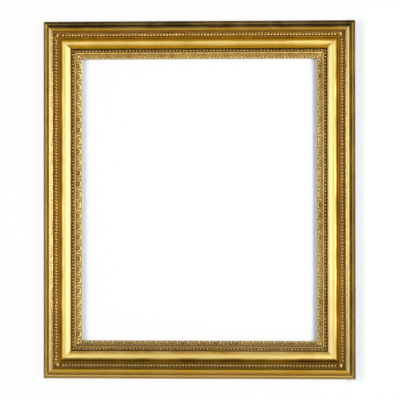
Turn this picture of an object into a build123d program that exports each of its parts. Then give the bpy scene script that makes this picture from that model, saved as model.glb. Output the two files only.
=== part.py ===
from build123d import *
from math import hypot, sqrt
import os

# An empty ornate gilded picture frame, hung upright with its back to a wall.
# The origin is the middle of the opening, on the back plane. +X is to the right seen from the front,
# +Z is up, the gilded front faces -Y and the wall is towards +Y. All sizes are in millimetres.
#
# A section across a rail is drawn as (inward from the outer edge, forward from the back plane).

# Opening seen from the front
sight_width = 495.0
sight_height = 591.0

# Pine back frame, half-lapped and pegged at its corners
back_thickness = 12.0
back_inset = 6.0
rebate_width = 7.0
lap_height = 6.0
peg_radius = 4.0
peg_near = 24.0
peg_far = 54.0
peg_clearance = 0.05
peg_sink = 0.2

# Face moulding, from its outer edge inward; heights are above the front of the back frame
side_height = 11.5
bead_radius = 4.5
quirk_width = 1.0
hollow_width = 4.5
hollow_depth = 0.8
top_edge_height = 30.0
top_edge_fillet = 1.0
top_edge_radius = 4.0
scotia_width = 3.5
scotia_fillet = 1.5
scotia_depth = 1.5
ribbon_seat_height = 17.0
ribbon_seat_width = 8.5
cushion_foot_width = 4.0
cushion_foot_height = 3.0
cushion_foot_depth = 0.9
cushion_height = 26.0
cushion_radius = 20.0
cushion_roll_radius = 3.5
cushion_crest = 8.0
cushion_width = 20.3

# Sight moulding, from the cushion inward; heights are above the front of the back frame
pearl_seat_height = 11.5
pearl_seat_width = 7.4
fillet_width = 2.2
fillet_rise = 1.5
leaf_drop = 1.4
leaf_run = 7.4
leaf_fall = 6.0
lip_flat = 0.8
lip_radius = 2.2
ledge_step = 0.5

# Applied ornament in composition
pearl_radius = 2.9
pearl_pitch = 7.0
pearl_base_width = 4.6
pearl_base_height = 1.0
leaf_base_height = 1.2
leaf_pitch = 22.5
leaf_width = 15.5
leaf_relief = 1.5
dart_width = 4.5
dart_length = 6.5
dart_relief = 0.8
ornament_margin = 0.9
ribbon_width = 7.6
ribbon_base_height = 1.4
ribbon_pitch = 6.6
ribbon_strand_width = 3.6
ribbon_strand_length = 8.2
ribbon_strand_angle = 50.0
ribbon_relief = 2.2
ribbon_end_gap = 0.5
corner_leaf_length = 11.0
corner_leaf_width = 8.0
corner_leaf_height = 4.2

# Keys let into the back of the face moulding across each mitre
key_inward = 30.0
key_length = 44.0
key_thickness = 3.0
key_depth = 7.0
key_clearance = 0.1

# Countersunk screws that hold the face moulding on the back frame
frame_screw_end = 130.0
frame_screw_radius = 2.0
frame_screw_head_radius = 4.0
frame_screw_depth = 13.0
frame_screw_sink = 0.3
screw_clearance = 0.05
screw_slot_width = 0.9
screw_slot_depth = 0.8
countersink_angle = 90.0

# Hangers: a strap plate screwed to each stile, with a ring in its knuckle
hanger_inward = 42.0
hanger_drop = 125.0
plate_width = 14.0
plate_length = 46.0
plate_thickness = 1.5
knuckle_wall = 1.6
ring_wire_radius = 1.5
ring_clearance = 0.25
ring_bar_room = 1.0
ring_corner_radius = 3.0
ring_leg = 6.0
hanger_screw_first = 27.5
hanger_screw_second = 38.5
hanger_screw_radius = 1.75
hanger_screw_depth = 9.0
round_head_radius = 3.4
round_head_height = 2.0

# Turn buttons that hold the picture in its rebate
button_edge_gap = 8.0
button_height = 150.0
button_radius = 6.0
button_tip_radius = 4.5
button_reach = 22.0
button_thickness = 1.6
button_seat_gap = 0.3
button_bore_clearance = 0.15
button_screw_radius = 2.0
button_screw_depth = 9.0
button_head_radius = 4.0
button_head_height = 2.4
button_head_gap = 0.2

SIDES = ("top", "bottom", "left", "right")
CORNERS = {"top_left": (-1, 1), "top_right": (1, 1), "bottom_left": (-1, -1), "bottom_right": (1, -1)}

# Places across a rail, worked out from the widths above
quirk_at = 2 * bead_radius
hollow_at = quirk_at + quirk_width
top_edge_at = hollow_at + hollow_width
scotia_at = top_edge_at + 2 * top_edge_radius
ribbon_seat_at = scotia_at + scotia_width
ribbon_line = ribbon_seat_at + ribbon_seat_width / 2
foot_at = ribbon_seat_at + ribbon_seat_width
cushion_at = foot_at + cushion_foot_width
pearl_seat_at = cushion_at + cushion_width
pearl_line = pearl_seat_at + pearl_seat_width / 2
fillet_at = pearl_seat_at + pearl_seat_width
leaf_at = fillet_at + fillet_width
lip_at = leaf_at + leaf_run
rail_width = lip_at + lip_flat + lip_radius

# Heights above the back plane
glue_plane = back_thickness
bead_base = glue_plane + side_height
top_edge_base = glue_plane + top_edge_height
ribbon_seat = glue_plane + ribbon_seat_height
cushion_top = glue_plane + cushion_height
pearl_seat = glue_plane + pearl_seat_height
fillet_top = pearl_seat + fillet_rise
leaf_top = fillet_top - leaf_drop
lip_top = leaf_top - leaf_fall

outer_width = sight_width + 2 * rail_width
outer_height = sight_height + 2 * rail_width
back_width = rail_width - rebate_width - back_inset
knuckle_radius = ring_wire_radius + ring_clearance + knuckle_wall
ring_bar_half = plate_width / 2 + ring_bar_room
ring_half_width = ring_bar_half + ring_corner_radius


def outer_length(side):
    """Length of a rail along its outer edge."""
    return outer_width if side in ("top", "bottom") else outer_height


def section_plane(side):
    """Plane of a rail's section: x inward from the outer edge, y forward, z along the rail."""
    origin, inward, along = {
        "top": ((0, 0, outer_height / 2), (0, 0, -1), (-1, 0, 0)),
        "bottom": ((0, 0, -outer_height / 2), (0, 0, 1), (1, 0, 0)),
        "left": ((-outer_width / 2, 0, 0), (1, 0, 0), (0, 0, -1)),
        "right": ((outer_width / 2, 0, 0), (-1, 0, 0), (0, 0, 1)),
    }[side]
    return Plane(origin=origin, x_dir=inward, z_dir=along)


def front_plane(side, inward, forward, along=0.0, lean=(0.0, 1.0)):
    """Plane on a rail that faces the viewer, x along the rail and y towards the opening."""
    section = section_plane(side)
    normal = section.x_dir * lean[0] + section.y_dir * lean[1]
    return Plane(section.from_local_coords((inward, forward, along)), x_dir=section.z_dir, z_dir=normal)


def back_plane(side, inward, along, forward=0.0):
    """Plane on a rail that faces the wall, for what goes in from behind."""
    section = section_plane(side)
    return Plane(section.from_local_coords((inward, forward, along)), x_dir=(1, 0, 0), z_dir=(0, 1, 0))


def mitre_plane(side, end):
    """Plane of the mitre at one end of a rail, facing the waste."""
    section = section_plane(side)
    corner = section.from_local_coords((0, 0, end * outer_length(side) / 2))
    return Plane(origin=corner, z_dir=section.x_dir + section.z_dir * end)


def corner_plane(corner, inward, forward, faces):
    """Plane on a corner's diagonal, x across the mitre; faces is 1 for the wall, -1 for the viewer."""
    right, up = CORNERS[corner]
    origin = (right * (outer_width / 2 - inward), -forward, up * (outer_height / 2 - inward))
    return Plane(origin=origin, x_dir=(right, 0, -up), z_dir=(0, faces, 0))


def spread(length, pitch):
    """Even places along a line, about its middle, as many as fit at the given pitch."""
    count = max(1, int(length / pitch))
    return [(step - (count - 1) / 2) * pitch for step in range(count)]


def save(builder, name):
    """Label a finished piece and write it to its own file."""
    builder.part.label = name
    export_step(builder.part, f"parts/{name}.step")


def peg_planes(side):
    """Where the pegs of a back member go in, two at each of its ends."""
    half = outer_length(side) / 2
    pairs = ((peg_near, peg_far), (peg_far, peg_near))
    return [back_plane(side, inward, end * (half - from_end)) for end in (1, -1) for inward, from_end in pairs]


def frame_screw_planes(side, forward=0.0):
    """Where the screws through a back member into its face moulding go in."""
    half = outer_length(side) / 2 - frame_screw_end
    return [back_plane(side, ribbon_line, along, forward) for along in (-half, 0, half)]


def hanger_plane(side, lift=0.0):
    """Plane behind a stile at a hanger's knuckle: x to the right, y down, z towards the wall."""
    across = outer_width / 2 - hanger_inward
    across = across if side == "right" else -across
    return Plane((across, lift, outer_height / 2 - hanger_drop), x_dir=(1, 0, 0), z_dir=(0, 1, 0))


def button_plane(side, level, lift=0.0):
    """Plane behind a stile at a turn button's pivot: x to the right, y down, z towards the wall."""
    across = sight_width / 2 + rebate_width + button_edge_gap
    across = across if side == "right" else -across
    up = button_height if level == "upper" else -button_height
    return Plane((across, lift, up), x_dir=(1, 0, 0), z_dir=(0, 1, 0))


HANGER_SIDES = ("left", "right")
BUTTONS = [(side, level) for side in ("left", "right") for level in ("upper", "lower")]
os.makedirs("parts", exist_ok=True)

# Pine back frame: the rails keep the back half of each corner lap, the stiles the front half
for side in SIDES:
    is_rail = side in ("top", "bottom")
    section = section_plane(side)
    middle = back_inset + back_width / 2
    half = outer_length(side) / 2 - back_inset
    waste = back_thickness - lap_height if is_rail else lap_height
    waste_middle = back_thickness - waste / 2 if is_rail else waste / 2
    with BuildPart() as back_member:
        with BuildSketch(section):
            with Locations((middle, back_thickness / 2)):
                Rectangle(back_width, back_thickness)
        extrude(amount=half, both=True)
        for end in (1, -1):
            at = section.from_local_coords((middle, waste_middle, end * (half - back_width / 2)))
            with Locations(Plane(at, x_dir=section.x_dir, z_dir=section.z_dir)):
                Box(back_width, waste, back_width, mode=Mode.SUBTRACT)
        with Locations(*peg_planes(side)):
            Hole(peg_radius + peg_clearance, depth=back_thickness)
        with Locations(*frame_screw_planes(side)):
            CounterSinkHole(
                frame_screw_radius + screw_clearance,
                frame_screw_head_radius + screw_clearance,
                depth=back_thickness,
                counter_sink_angle=countersink_angle,
            )
        if not is_rail:
            hanger = hanger_plane(side)
            with Locations(hanger):
                with Locations((0, hanger_screw_first), (0, hanger_screw_second)):
                    Hole(hanger_screw_radius + screw_clearance, depth=hanger_screw_depth + screw_clearance)
            with Locations(*[button_plane(side, level) for level in ("upper", "lower")]):
                Hole(button_screw_radius + screw_clearance, depth=button_screw_depth + screw_clearance)
    save(back_member, f"back_{'rail' if is_rail else 'stile'}_{side}")

# Pegs through the corner laps, a little below the back face
with BuildPart() as lap_pegs:
    for side in ("top", "bottom"):
        with Locations(*peg_planes(side)):
            with Locations((0, 0, -peg_sink)):
                Cylinder(peg_radius, back_thickness - peg_sink, align=(Align.CENTER, Align.CENTER, Align.MAX))
save(lap_pegs, "lap_pegs")

# Face moulding section: outer bead, hollow, raised top edge, scotia with a flat seat, broad cushion
cushion_crest_at = cushion_at + cushion_crest
cushion_centre = (cushion_crest_at, cushion_top - cushion_radius)
roll_shift = cushion_crest - cushion_roll_radius
roll_rise = sqrt((cushion_radius - cushion_roll_radius) ** 2 - roll_shift**2)
roll_centre = (cushion_at + cushion_roll_radius, cushion_centre[1] + roll_rise)
roll_end = (
    cushion_centre[0] - roll_shift * cushion_radius / (cushion_radius - cushion_roll_radius),
    cushion_centre[1] + roll_rise * cushion_radius / (cushion_radius - cushion_roll_radius),
)
arris_run = cushion_width - cushion_crest
arris = (pearl_seat_at, cushion_centre[1] + sqrt(cushion_radius**2 - arris_run**2))
roll_middle = (
    roll_centre[0] - cushion_roll_radius * sqrt(0.5),
    roll_centre[1] + cushion_roll_radius * sqrt(0.5),
)

with BuildSketch() as face_section:
    with BuildLine():
        Polyline((pearl_seat_at, glue_plane), (0, glue_plane), (0, bead_base))
        CenterArc((bead_radius, bead_base), bead_radius, 180, -180)
        Line((quirk_at, bead_base), (hollow_at, bead_base))
        ThreePointArc(
            (hollow_at, bead_base),
            ((hollow_at + top_edge_at) / 2 + hollow_depth, (bead_base + top_edge_base - top_edge_fillet) / 2),
            (top_edge_at, top_edge_base - top_edge_fillet),
        )
        Line((top_edge_at, top_edge_base - top_edge_fillet), (top_edge_at, top_edge_base))
        CenterArc((top_edge_at + top_edge_radius, top_edge_base), top_edge_radius, 180, -180)
        Line((scotia_at, top_edge_base), (scotia_at, top_edge_base - scotia_fillet))
        ThreePointArc(
            (scotia_at, top_edge_base - scotia_fillet),
            (
                (scotia_at + ribbon_seat_at) / 2 - scotia_depth / 2,
                (top_edge_base - scotia_fillet + ribbon_seat) / 2 - scotia_depth / 2,
            ),
            (ribbon_seat_at, ribbon_seat),
        )
        Line((ribbon_seat_at, ribbon_seat), (foot_at, ribbon_seat))
        ThreePointArc(
            (foot_at, ribbon_seat),
            (
                foot_at + cushion_foot_width / 2 + cushion_foot_depth * sqrt(0.5),
                ribbon_seat + cushion_foot_height / 2 - cushion_foot_depth * sqrt(0.5),
            ),
            (cushion_at, ribbon_seat + cushion_foot_height),
        )
        Line((cushion_at, ribbon_seat + cushion_foot_height), (cushion_at, roll_centre[1]))
        RadiusArc((cushion_at, roll_centre[1]), roll_end, cushion_roll_radius)
        ThreePointArc(roll_end, (cushion_crest_at, cushion_top), arris)
        Line(arris, (pearl_seat_at, glue_plane))
    make_face()

# Sight moulding section: pearl seat, fillet, leaf slope, rounded lip and the rebate ledge behind it
ledge_at = rail_width - rebate_width + ledge_step
with BuildSketch() as sight_section:
    with BuildLine():
        Polyline(
            (ledge_at, glue_plane + ledge_step),
            (ledge_at, glue_plane),
            (pearl_seat_at, glue_plane),
            (pearl_seat_at, pearl_seat),
            (fillet_at, pearl_seat),
            (fillet_at, fillet_top),
            (leaf_at, fillet_top),
            (leaf_at, leaf_top),
            (lip_at, lip_top),
            (lip_at + lip_flat, lip_top),
        )
        CenterArc((lip_at + lip_flat, lip_top - lip_radius), lip_radius, 90, -90)
        Polyline(
            (rail_width, lip_top - lip_radius),
            (rail_width, glue_plane + ledge_step),
            (ledge_at, glue_plane + ledge_step),
        )
    make_face()

# Slope of the leaf strip and the outward normal of that slope
leaf_slope = hypot(leaf_run, leaf_fall)
leaf_length = leaf_slope - 2 * ornament_margin
leaf_lean = (leaf_fall / leaf_slope, leaf_run / leaf_slope)
leaf_start = (leaf_at + ornament_margin * leaf_lean[1], leaf_top - ornament_margin * leaf_lean[0])
leaf_end = (lip_at - ornament_margin * leaf_lean[1], lip_top + ornament_margin * leaf_lean[0])
leaf_lift = (leaf_base_height * leaf_lean[0], leaf_base_height * leaf_lean[1])
with BuildSketch() as leaf_section:
    with BuildLine():
        Polyline(
            leaf_start,
            leaf_end,
            (leaf_end[0] + leaf_lift[0], leaf_end[1] + leaf_lift[1]),
            (leaf_start[0] + leaf_lift[0], leaf_start[1] + leaf_lift[1]),
            close=True,
        )
    make_face()

# One heart-shaped leaf, point towards the opening, and one dart that widens towards the opening
with BuildSketch() as leaf_outline:
    with BuildLine() as leaf_edge:
        lobe = ThreePointArc((0, 0.6), (leaf_width / 4, 0), (leaf_width / 2, leaf_length * 0.3))
        Spline(lobe @ 1, (leaf_width / 4, leaf_length * 0.72), (0, leaf_length))
        mirror(about=Plane.YZ)
    make_face()
with BuildSketch() as dart_outline:
    with BuildLine():
        Polyline(
            (0, leaf_length - dart_length),
            (dart_width / 2, leaf_length),
            (-dart_width / 2, leaf_length),
            close=True,
        )
    make_face()

# Gilded rails, mitred at the corners: the face moulding with its key slots and pilot holes,
# then the sight moulding inside it
for side in SIDES:
    with BuildPart() as face_moulding:
        with BuildSketch(section_plane(side)):
            add(face_section.sketch)
        extrude(amount=outer_length(side) / 2, both=True)
        for end in (1, -1):
            split(bisect_by=mitre_plane(side, end), keep=Keep.BOTTOM)
        with Locations(*[corner_plane(corner, key_inward, glue_plane, 1) for corner in CORNERS if side in corner]):
            Box(
                key_length + 2 * key_clearance,
                key_thickness + 2 * key_clearance,
                key_depth + key_clearance,
                align=(Align.CENTER, Align.CENTER, Align.MAX),
                mode=Mode.SUBTRACT,
            )
        with Locations(*frame_screw_planes(side, glue_plane)):
            Hole(frame_screw_radius + screw_clearance, depth=frame_screw_depth + screw_clearance)
    save(face_moulding, f"face_moulding_{side}")

    with BuildPart() as sight_moulding:
        with BuildSketch(section_plane(side)):
            add(sight_section.sketch)
        extrude(amount=outer_length(side) / 2, both=True)
        for end in (1, -1):
            split(bisect_by=mitre_plane(side, end), keep=Keep.BOTTOM)
    save(sight_moulding, f"sight_moulding_{side}")

# Keys across the mitres of the face moulding, flush with its back
with BuildPart() as mitre_keys:
    with Locations(*[corner_plane(corner, key_inward, glue_plane, 1) for corner in CORNERS]):
        Box(key_length, key_thickness, key_depth, align=(Align.CENTER, Align.CENTER, Align.MAX))
save(mitre_keys, "mitre_keys")

# Applied ornament: a string of pearls, a strip of leaves and darts and a twisted ribbon on each rail
for side in SIDES:
    pearl_length = outer_length(side) - 2 * pearl_line
    pearl_top = pearl_seat + pearl_base_height
    with BuildPart() as pearl_string:
        with BuildSketch(section_plane(side)):
            with Locations((pearl_line, pearl_seat + pearl_base_height / 2)):
                Rectangle(pearl_base_width, pearl_base_height)
        extrude(amount=outer_length(side) / 2, both=True)
        for end in (1, -1):
            split(bisect_by=mitre_plane(side, end), keep=Keep.BOTTOM)
        steps = spread(pearl_length - 2 * pearl_radius, pearl_pitch)
        with Locations(*[front_plane(side, pearl_line, pearl_top, along) for along in steps]):
            Sphere(pearl_radius, arc_size1=0, align=(Align.CENTER, Align.CENTER, Align.MIN))
    save(pearl_string, f"pearl_string_{side}")

    leaf_face = (leaf_start[0] + leaf_lift[0], leaf_start[1] + leaf_lift[1])
    leaf_places = spread(outer_length(side) - 2 * leaf_end[0] + leaf_pitch / 4, leaf_pitch)
    dart_places = [along + leaf_pitch / 2 for along in leaf_places[:-1]]
    with BuildPart() as leaf_strip:
        with BuildSketch(section_plane(side)):
            add(leaf_section.sketch)
        extrude(amount=outer_length(side) / 2, both=True)
        for end in (1, -1):
            split(bisect_by=mitre_plane(side, end), keep=Keep.BOTTOM)
        with BuildSketch(front_plane(side, *leaf_face, lean=leaf_lean)):
            with Locations(*[(along, 0) for along in leaf_places]):
                add(leaf_outline.sketch)
        extrude(amount=leaf_relief)
        with BuildSketch(front_plane(side, *leaf_face, lean=leaf_lean)):
            with Locations(*[(along, 0) for along in dart_places]):
                add(dart_outline.sketch)
        extrude(amount=dart_relief)
    save(leaf_strip, f"leaf_strip_{side}")

    ribbon_half = outer_length(side) / 2 - ribbon_line - corner_leaf_length / 2 - ribbon_end_gap
    ribbon_top = ribbon_seat + ribbon_base_height
    with BuildPart() as ribbon_strip:
        with BuildSketch(section_plane(side)):
            with Locations((ribbon_line, ribbon_seat + ribbon_base_height / 2)):
                Rectangle(ribbon_width, ribbon_base_height)
        extrude(amount=ribbon_half, both=True)
        with BuildSketch(front_plane(side, ribbon_line, ribbon_top)):
            with Locations(*[(along, 0) for along in spread(2 * ribbon_half - ribbon_strand_length, ribbon_pitch)]):
                SlotOverall(ribbon_strand_length, ribbon_strand_width, rotation=ribbon_strand_angle)
        extrude(amount=ribbon_relief)
    save(ribbon_strip, f"ribbon_strip_{side}")

# A leaf on each corner of the scotia, where the ribbons stop
for corner in CORNERS:
    with BuildPart() as corner_leaf:
        with BuildSketch(corner_plane(corner, ribbon_line, ribbon_seat, -1)):
            with BuildLine():
                Spline(
                    (0, -corner_leaf_length / 2),
                    (corner_leaf_width / 2, 0),
                    (0, corner_leaf_length / 2),
                )
                mirror(about=Plane.YZ)
            make_face()
        extrude(amount=corner_leaf_height)
        chamfer(corner_leaf.faces().sort_by(Axis.Y)[0].edges(), corner_leaf_height / 4)
    save(corner_leaf, f"corner_leaf_{corner}")

# Countersunk screws, just below the back face
head_height = frame_screw_head_radius - frame_screw_radius
with BuildPart() as frame_screws:
    for side in SIDES:
        with Locations(*frame_screw_planes(side)):
            with Locations((0, 0, -frame_screw_sink)):
                Cone(
                    frame_screw_radius,
                    frame_screw_head_radius - frame_screw_sink,
                    head_height - frame_screw_sink,
                    align=(Align.CENTER, Align.CENTER, Align.MAX),
                )
                Cylinder(
                    frame_screw_radius,
                    glue_plane + frame_screw_depth - frame_screw_sink,
                    align=(Align.CENTER, Align.CENTER, Align.MAX),
                )
                Box(
                    2 * frame_screw_head_radius,
                    screw_slot_width,
                    screw_slot_depth,
                    align=(Align.CENTER, Align.CENTER, Align.MAX),
                    mode=Mode.SUBTRACT,
                )
save(frame_screws, "frame_screws")

# Hangers: strap plates, their rings hanging down over them, and their screws
for side in HANGER_SIDES:
    with BuildPart() as hanger_plate:
        with BuildSketch(hanger_plane(side)):
            with Locations((0, plate_length / 2)):
                Rectangle(plate_width, plate_length)
        extrude(amount=plate_thickness)
        fillet(hanger_plate.edges().filter_by(Axis.Y).group_by(Axis.Z)[0], plate_width / 3)
        across = hanger_plane(side, knuckle_radius)
        with BuildSketch(Plane(across.origin, x_dir=(0, 1, 0), z_dir=(1, 0, 0))):
            Circle(knuckle_radius)
        extrude(amount=plate_width / 2, both=True)
        with BuildSketch(Plane(across.origin, x_dir=(0, 1, 0), z_dir=(1, 0, 0))):
            Circle(ring_wire_radius + ring_clearance)
        extrude(amount=plate_width / 2, both=True, mode=Mode.SUBTRACT)
        with Locations(hanger_plane(side, plate_thickness)):
            with Locations((0, hanger_screw_first), (0, hanger_screw_second)):
                Hole(hanger_screw_radius + screw_clearance, depth=plate_thickness)
    save(hanger_plate, f"hanger_plate_{side}")

    ring_plane = hanger_plane(side, knuckle_radius)
    leg_end = ring_corner_radius + ring_leg
    with BuildPart() as hanger_ring:
        with BuildLine(ring_plane) as ring_path:
            Line((-ring_bar_half, 0), (ring_bar_half, 0))
            CenterArc((ring_bar_half, ring_corner_radius), ring_corner_radius, -90, 90)
            Line((ring_half_width, ring_corner_radius), (ring_half_width, leg_end))
            CenterArc((0, leg_end), ring_half_width, 0, 180)
            Line((-ring_half_width, leg_end), (-ring_half_width, ring_corner_radius))
            CenterArc((-ring_bar_half, ring_corner_radius), ring_corner_radius, 180, 90)
        with BuildSketch(Plane(ring_plane.from_local_coords((-ring_bar_half, 0, 0)), z_dir=(1, 0, 0))):
            Circle(ring_wire_radius)
        sweep(path=ring_path.wires()[0])
    save(hanger_ring, f"hanger_ring_{side}")

with BuildPart() as hanger_screws:
    for side in HANGER_SIDES:
        with Locations(hanger_plane(side, plate_thickness)):
            with Locations((0, hanger_screw_first), (0, hanger_screw_second)):
                Cylinder(
                    hanger_screw_radius,
                    plate_thickness + hanger_screw_depth,
                    align=(Align.CENTER, Align.CENTER, Align.MAX),
                )
                Cone(
                    round_head_radius,
                    round_head_radius / 2,
                    round_head_height,
                    align=(Align.CENTER, Align.CENTER, Align.MIN),
                )
                with Locations((0, 0, round_head_height)):
                    Box(
                        2 * round_head_radius,
                        screw_slot_width,
                        screw_slot_depth,
                        align=(Align.CENTER, Align.CENTER, Align.MAX),
                        mode=Mode.SUBTRACT,
                    )
save(hanger_screws, "hanger_screws")

# Turn buttons, stored pointing down along the stiles, and the screws that they swing on
for side, level in BUTTONS:
    with BuildPart() as turn_button:
        with BuildSketch(button_plane(side, level, button_seat_gap)):
            Circle(button_radius)
            with Locations((0, button_reach - button_tip_radius)):
                Circle(button_tip_radius)
            make_hull()
            Circle(button_screw_radius + button_bore_clearance, mode=Mode.SUBTRACT)
        extrude(amount=button_thickness)
    save(turn_button, f"turn_button_{side}_{level}")

button_head_at = button_seat_gap + button_thickness + button_head_gap
with BuildPart() as button_screws:
    with Locations(*[button_plane(side, level, button_head_at) for side, level in BUTTONS]):
        Cylinder(
            button_screw_radius,
            button_head_at + button_screw_depth,
            align=(Align.CENTER, Align.CENTER, Align.MAX),
        )
        Cone(
            button_head_radius,
            button_head_radius / 2,
            button_head_height,
            align=(Align.CENTER, Align.CENTER, Align.MIN),
        )
        with Locations((0, 0, button_head_height)):
            Box(
                2 * button_head_radius,
                screw_slot_width,
                screw_slot_depth,
                align=(Align.CENTER, Align.CENTER, Align.MAX),
                mode=Mode.SUBTRACT,
            )
save(button_screws, "button_screws")
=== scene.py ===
"""Visual model of an empty gilded picture frame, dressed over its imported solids.

The gilded rails are swept sections with rows of cast ornament; the back is bare pine with brass hardware.
Sizes in the classes are millimetres, as a maker writes them, and MM turns them into metres.
"""

import logging
import math
from collections.abc import Callable, Iterator
from contextlib import contextmanager
from dataclasses import dataclass, field, replace
from enum import Enum
from typing import Any

import bmesh
import bpy
from bpy.types import ID, Material, Mesh, Node, NodeOutputs, NodeSocket, NodeTree, Object
from mathutils import Matrix, Vector


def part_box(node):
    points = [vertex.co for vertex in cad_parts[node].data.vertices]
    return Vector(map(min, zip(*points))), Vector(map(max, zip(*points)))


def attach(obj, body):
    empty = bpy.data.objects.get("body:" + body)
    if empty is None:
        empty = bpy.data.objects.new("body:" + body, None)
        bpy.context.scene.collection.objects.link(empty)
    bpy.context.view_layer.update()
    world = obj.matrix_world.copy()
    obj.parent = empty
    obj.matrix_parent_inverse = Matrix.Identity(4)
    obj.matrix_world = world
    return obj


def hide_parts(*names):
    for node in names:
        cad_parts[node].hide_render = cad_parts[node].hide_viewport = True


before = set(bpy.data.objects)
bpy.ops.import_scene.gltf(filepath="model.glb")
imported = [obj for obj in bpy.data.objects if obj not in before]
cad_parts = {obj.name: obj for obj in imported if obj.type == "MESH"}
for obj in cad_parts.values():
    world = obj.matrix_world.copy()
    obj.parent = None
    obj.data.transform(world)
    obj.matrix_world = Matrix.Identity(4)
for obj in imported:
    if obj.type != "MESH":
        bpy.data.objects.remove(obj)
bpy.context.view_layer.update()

MM = 0.001
LOG = logging.getLogger("gilded_frame")

# Values from 0 to 1 that the meshes carry and the gilding reads; recess and dust also carry painted shade,
# and crest a painted highlight
RECESS = "recess"
CREST = "crest"
BURNISH = "burnish"
PATINA = "patina"
WASH = "wash"
DUST_AND_SHADE = "dust"
JOINT = "joint"
TONE = "tone"
MARKS = (RECESS, CREST, BURNISH, PATINA, WASH, DUST_AND_SHADE, JOINT, TONE)

# The body that every fixed piece rides on, and the record's slots of the gilded pieces
FIXED = "frame"
MOULDED = "gilded_moulding"
CAST = "gilded_composition"

VIEWER = Vector((0, -1, 0))
CREASE_DEGREES = 42.0
TINY = 1e-6
WHITE = (1.0, 1.0, 1.0, 1.0)
# From a unit's frame, X along the rail and Z out of it, to a section's frame
ON_RAIL = Matrix(((0, 1, 0), (0, 0, 1), (1, 0, 0))).to_4x4()

# Kinds of socket and of node that the trees name most
FLOAT = "NodeSocketFloat"
INTEGER = "NodeSocketInt"
VECTOR = "NodeSocketVector"
OBJECT = "NodeSocketObject"
MATERIAL = "NodeSocketMaterial"
GEOMETRY = "NodeSocketGeometry"
MATH = "ShaderNodeMath"
VECTOR_MATH = "ShaderNodeVectorMath"
RANGE = "ShaderNodeMapRange"
NOISE = "ShaderNodeTexNoise"
RANDOM = "FunctionNodeRandomValue"
MIX = "ShaderNodeMix"
BUMP = "ShaderNodeBump"
PRINCIPLED = "ShaderNodeBsdfPrincipled"


def linear(code: str) -> tuple[float, float, float, float]:
    """Turn an sRGB hex colour into linear values.

    Args:
        code: Colour such as "#c8a050".

    Returns:
        Red, green and blue from 0 to 1, and an alpha of 1.
    """
    shares = [int(code[at:at + 2], 16) / 255 for at in (1, 3, 5)]
    red, green, blue = [s / 12.92 if s <= 0.04045 else ((s + 0.055) / 1.055) ** 2.4 for s in shares]
    return red, green, blue, 1.0


def bend(first: Vector, pull: Vector, last: Vector, t: float) -> Vector:
    """Point at a share of a curve that leaves its first point and meets its last towards a pull."""
    return first * (1 - t) ** 2 + pull * (2 * t * (1 - t)) + last * t * t


def per_metre(size: float) -> float:
    """Texture scale at which one feature is about this many millimetres across."""
    return 1.0 / (size * MM)


def add(tree: NodeTree, kind: str, inputs: dict | None = None, **settings: Any) -> Node:
    """Add a node to a tree, set it and link it.

    Args:
        tree: Tree that takes the node.
        kind: Blender's name for the node.
        inputs: Values by the input's name or place: a node or an output to link, several in a list,
            or a constant.
        **settings: Properties of the node, set before its inputs.

    Returns:
        The new node.
    """
    made = tree.nodes.new(kind)
    for name, value in settings.items():
        setattr(made, name, value)
    for key, value in (inputs or {}).items():
        ready = [socket for socket in made.inputs if socket.enabled]
        target = ready[key] if isinstance(key, int) else next(s for s in ready if s.name == key)
        for item in value if isinstance(value, list) else [value]:
            if isinstance(item, Node):
                item = next(socket for socket in item.outputs if socket.enabled)
            if isinstance(item, NodeSocket):
                tree.links.new(item, target)
            else:
                target.default_value = item
    return made


def open_tree(name: str, inputs: dict[str, str]) -> tuple[NodeTree, NodeOutputs]:
    """Start a geometry tree with named inputs after its geometry.

    Args:
        name: Name of the tree.
        inputs: Kind of socket by the input's name.

    Returns:
        The tree and its inputs by name.
    """
    tree = bpy.data.node_groups.new(name, "GeometryNodeTree")
    for label, kind in {"Geometry": GEOMETRY, **inputs}.items():
        tree.interface.new_socket(label, in_out="INPUT", socket_type=kind)
    tree.interface.new_socket("Geometry", in_out="OUTPUT", socket_type=GEOMETRY)
    return tree, add(tree, "NodeGroupInput").outputs


def close_tree(tree: NodeTree, shape: Node, finish: NodeSocket) -> None:
    """End a geometry tree: its instances become real and take the finish.

    Args:
        tree: Tree to end.
        shape: Its last node.
        finish: Input that holds the finish.
    """
    real = add(tree, "GeometryNodeRealizeInstances", {"Geometry": shape})
    dressed = add(tree, "GeometryNodeSetMaterial", {"Geometry": real, "Material": finish})
    add(tree, "NodeGroupOutput", {"Geometry": dressed})


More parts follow.
